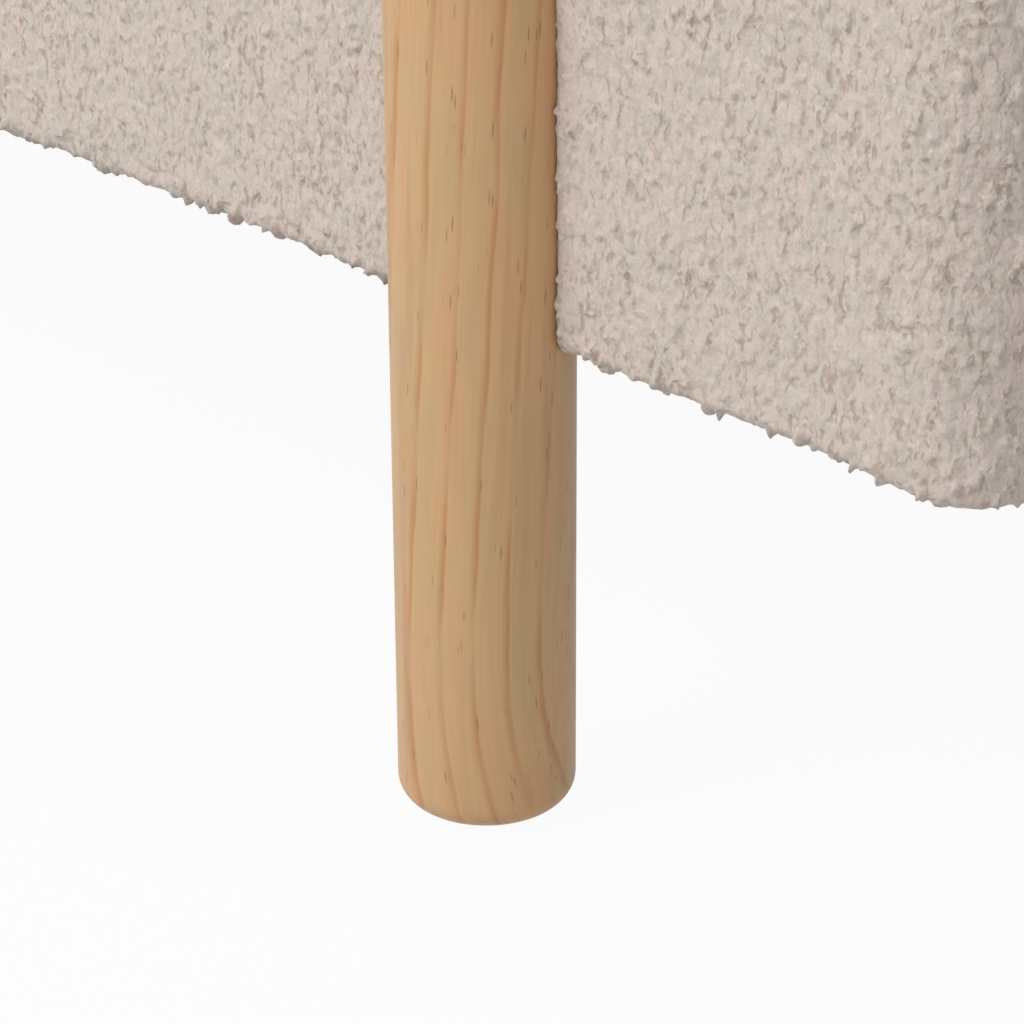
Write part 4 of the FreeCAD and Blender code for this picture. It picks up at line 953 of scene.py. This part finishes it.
# ---- finishes of the pieces that stay as they were built ----
def finish_frame():
    """Gives each built piece the material of its slot."""
    timber = sawn_timber()
    by_slot = {
        "frame_timber": timber, "pine": timber, "board": hardboard(),
        "spring_steel": steel("drawn_spring_steel", "#4a4a4c", "#6a6a6c", 0.35),
        "zinc_steel": steel("zinc_plated_steel", "#9a9da0", "#b9bcbf", 0.3),
        "webbing": woven("elastic_webbing", "#1b1a19", "#4b4845", 1.6 * MM, 0.85),
        "glide_plastic": moulded_nylon(), "boucle": BOUCLE, "foam": LINING, "lining_cloth": LINING,
    }
    for part in frame["record"]["subparts"]:
        mesh = frame["nodes"][part["node"]].data
        mesh.materials.clear()
        mesh.materials.append(by_slot[part["material_slot"]])


# ---- studio ----
FILL = 0.475  # strength of the even white surround
FLOOR_GLOW = 0.95  # share of plain white in the floor as it is seen; the rest keeps the shadow
# name, azimuth and elevation in degrees (0 is in front of the sofa), distance, diameter, watts
LAMPS = (
    ("key", -13, 38, 3.2, 2.2, 58),
    ("side", 65, 22, 3.2, 2.2, 5),
    ("back", 205, 35, 3.4, 2.2, 34),
)
LAMP_AIM = np.array([0.35, -0.2, 0.3])
FLOOR_HALF = 9  # metres


def direction(azimuth, elevation):
    """The unit vector towards an azimuth and elevation in degrees."""
    a, e = math.radians(azimuth), math.radians(elevation)
    return np.array([math.sin(a) * math.cos(e), -math.cos(a) * math.cos(e), math.sin(e)])


def seen_directly(tree):
    """1 for rays that show a thing itself: from the camera, off a gloss, or through glass."""
    seen = add(tree, "LightPath", {}, "Is Camera Ray")
    for kind in ("Is Glossy Ray", "Is Transmission Ray"):
        seen = add(tree, "Math", {0: seen, 1: add(tree, "LightPath", {}, kind)}, operation="MAXIMUM")
    return seen


def studio():
    """A white floor and surround with an even fill, and broad soft lights from the front left, the right
    and the back."""
    mesh = bpy.data.meshes.new("floor")
    h = FLOOR_HALF
    mesh.from_pydata([(-h, -h, 0), (h, -h, 0), (h, h, 0), (-h, h, 0)], [], [(0, 1, 2, 3)])
    floor = placed("floor", mesh)
    material, tree = surface("white_floor", Base_Color=linear("#dcdbd9"), Roughness=0.9)[:2]
    share = add(tree, "Math", {0: seen_directly(tree), 1: FLOOR_GLOW}, operation="MULTIPLY")
    glow = add(tree, "Emission", {"Color": (1, 1, 1, 1), "Strength": 1.0})
    painted = tree.nodes["Principled BSDF"].outputs[0]
    blend = add(tree, "MixShader", {0: share, 1: painted, 2: glow})
    tree.links.new(blend, tree.nodes["Material Output"].inputs[0])
    mesh.materials.append(material)

    world = bpy.data.worlds.new("surround")
    bpy.context.scene.world = world
    world.use_nodes = True
    tree = world.node_tree
    background = tree.nodes["Background"]
    background.inputs["Color"].default_value = (1, 1, 1, 1)
    strength = add(tree, "MapRange", {0: seen_directly(tree), 3: FILL, 4: 1.0})
    tree.links.new(strength, background.inputs["Strength"])

    for name, azimuth, elevation, distance, size, power in LAMPS:
        toward = direction(azimuth, elevation)
        lamp = bpy.data.lights.new(name, "AREA")
        lamp.shape, lamp.size, lamp.energy = "DISK", size, power
        obj = placed(name, lamp)
        obj.matrix_world = Matrix.Translation(LAMP_AIM + toward * distance) @ look(toward).to_4x4()
    bpy.context.scene.view_settings.view_transform = "Standard"


def look(back, roll=0.0):
    """The rotation of a camera or lamp whose back points along a direction, rolled about its own axis."""
    back = np.array(back) / np.linalg.norm(back)
    right = np.cross((0, 0, 1), back)
    right /= np.linalg.norm(right)
    up = np.cross(back, right)
    r = right * math.cos(roll) + up * math.sin(roll)
    u = up * math.cos(roll) - right * math.sin(roll)
    return Matrix(np.column_stack([r, u, back]).tolist())


# ---- camera ----
AZIMUTH, PITCH, ROLL = 47.0, 25.0, -0.0055  # degrees, degrees, radians
POST_TURNS = (AZIMUTH, 160, 250, 20)  # degrees; the rings of the first post face the camera
SENSOR, LENS = 36.0, 124.35  # millimetres
CLIP_NEAR, CLIP_FAR = 0.05, 100  # metres
# the front right post's foot lies this far ahead of the camera, and to the left of its axis and below it
FOOT_AHEAD, FOOT_LEFT, FOOT_BELOW = 998 * MM, 7.0 * MM, 78.7 * MM


def camera():
    """A long lens that looks down from the front right at the foot of the front right post."""
    turn = look(direction(AZIMUTH, PITCH), ROLL)
    right, up, behind = np.array(turn).T
    foot = np.array([*POST_AXIS, POST_LOW[2]])
    place = foot + right * FOOT_LEFT + up * FOOT_BELOW + behind * FOOT_AHEAD
    lens = bpy.data.cameras.new("camera")
    lens.sensor_width, lens.lens = SENSOR, LENS
    lens.clip_start, lens.clip_end = CLIP_NEAR, CLIP_FAR
    obj = placed("camera", lens)
    obj.matrix_world = Matrix.Translation(place) @ turn.to_4x4()
    bpy.context.scene.camera = obj


# ---- the whole sofa ----
finish_frame()
for number, node in enumerate(POST_NODES):
    post(node, math.radians(POST_TURNS[number]), BOARD_STEP * number)
for side in ("right", "left"):
    arm(side)
front_rail()
linings()
back()
seat_cushions()
back_cushions()
studio()
camera()
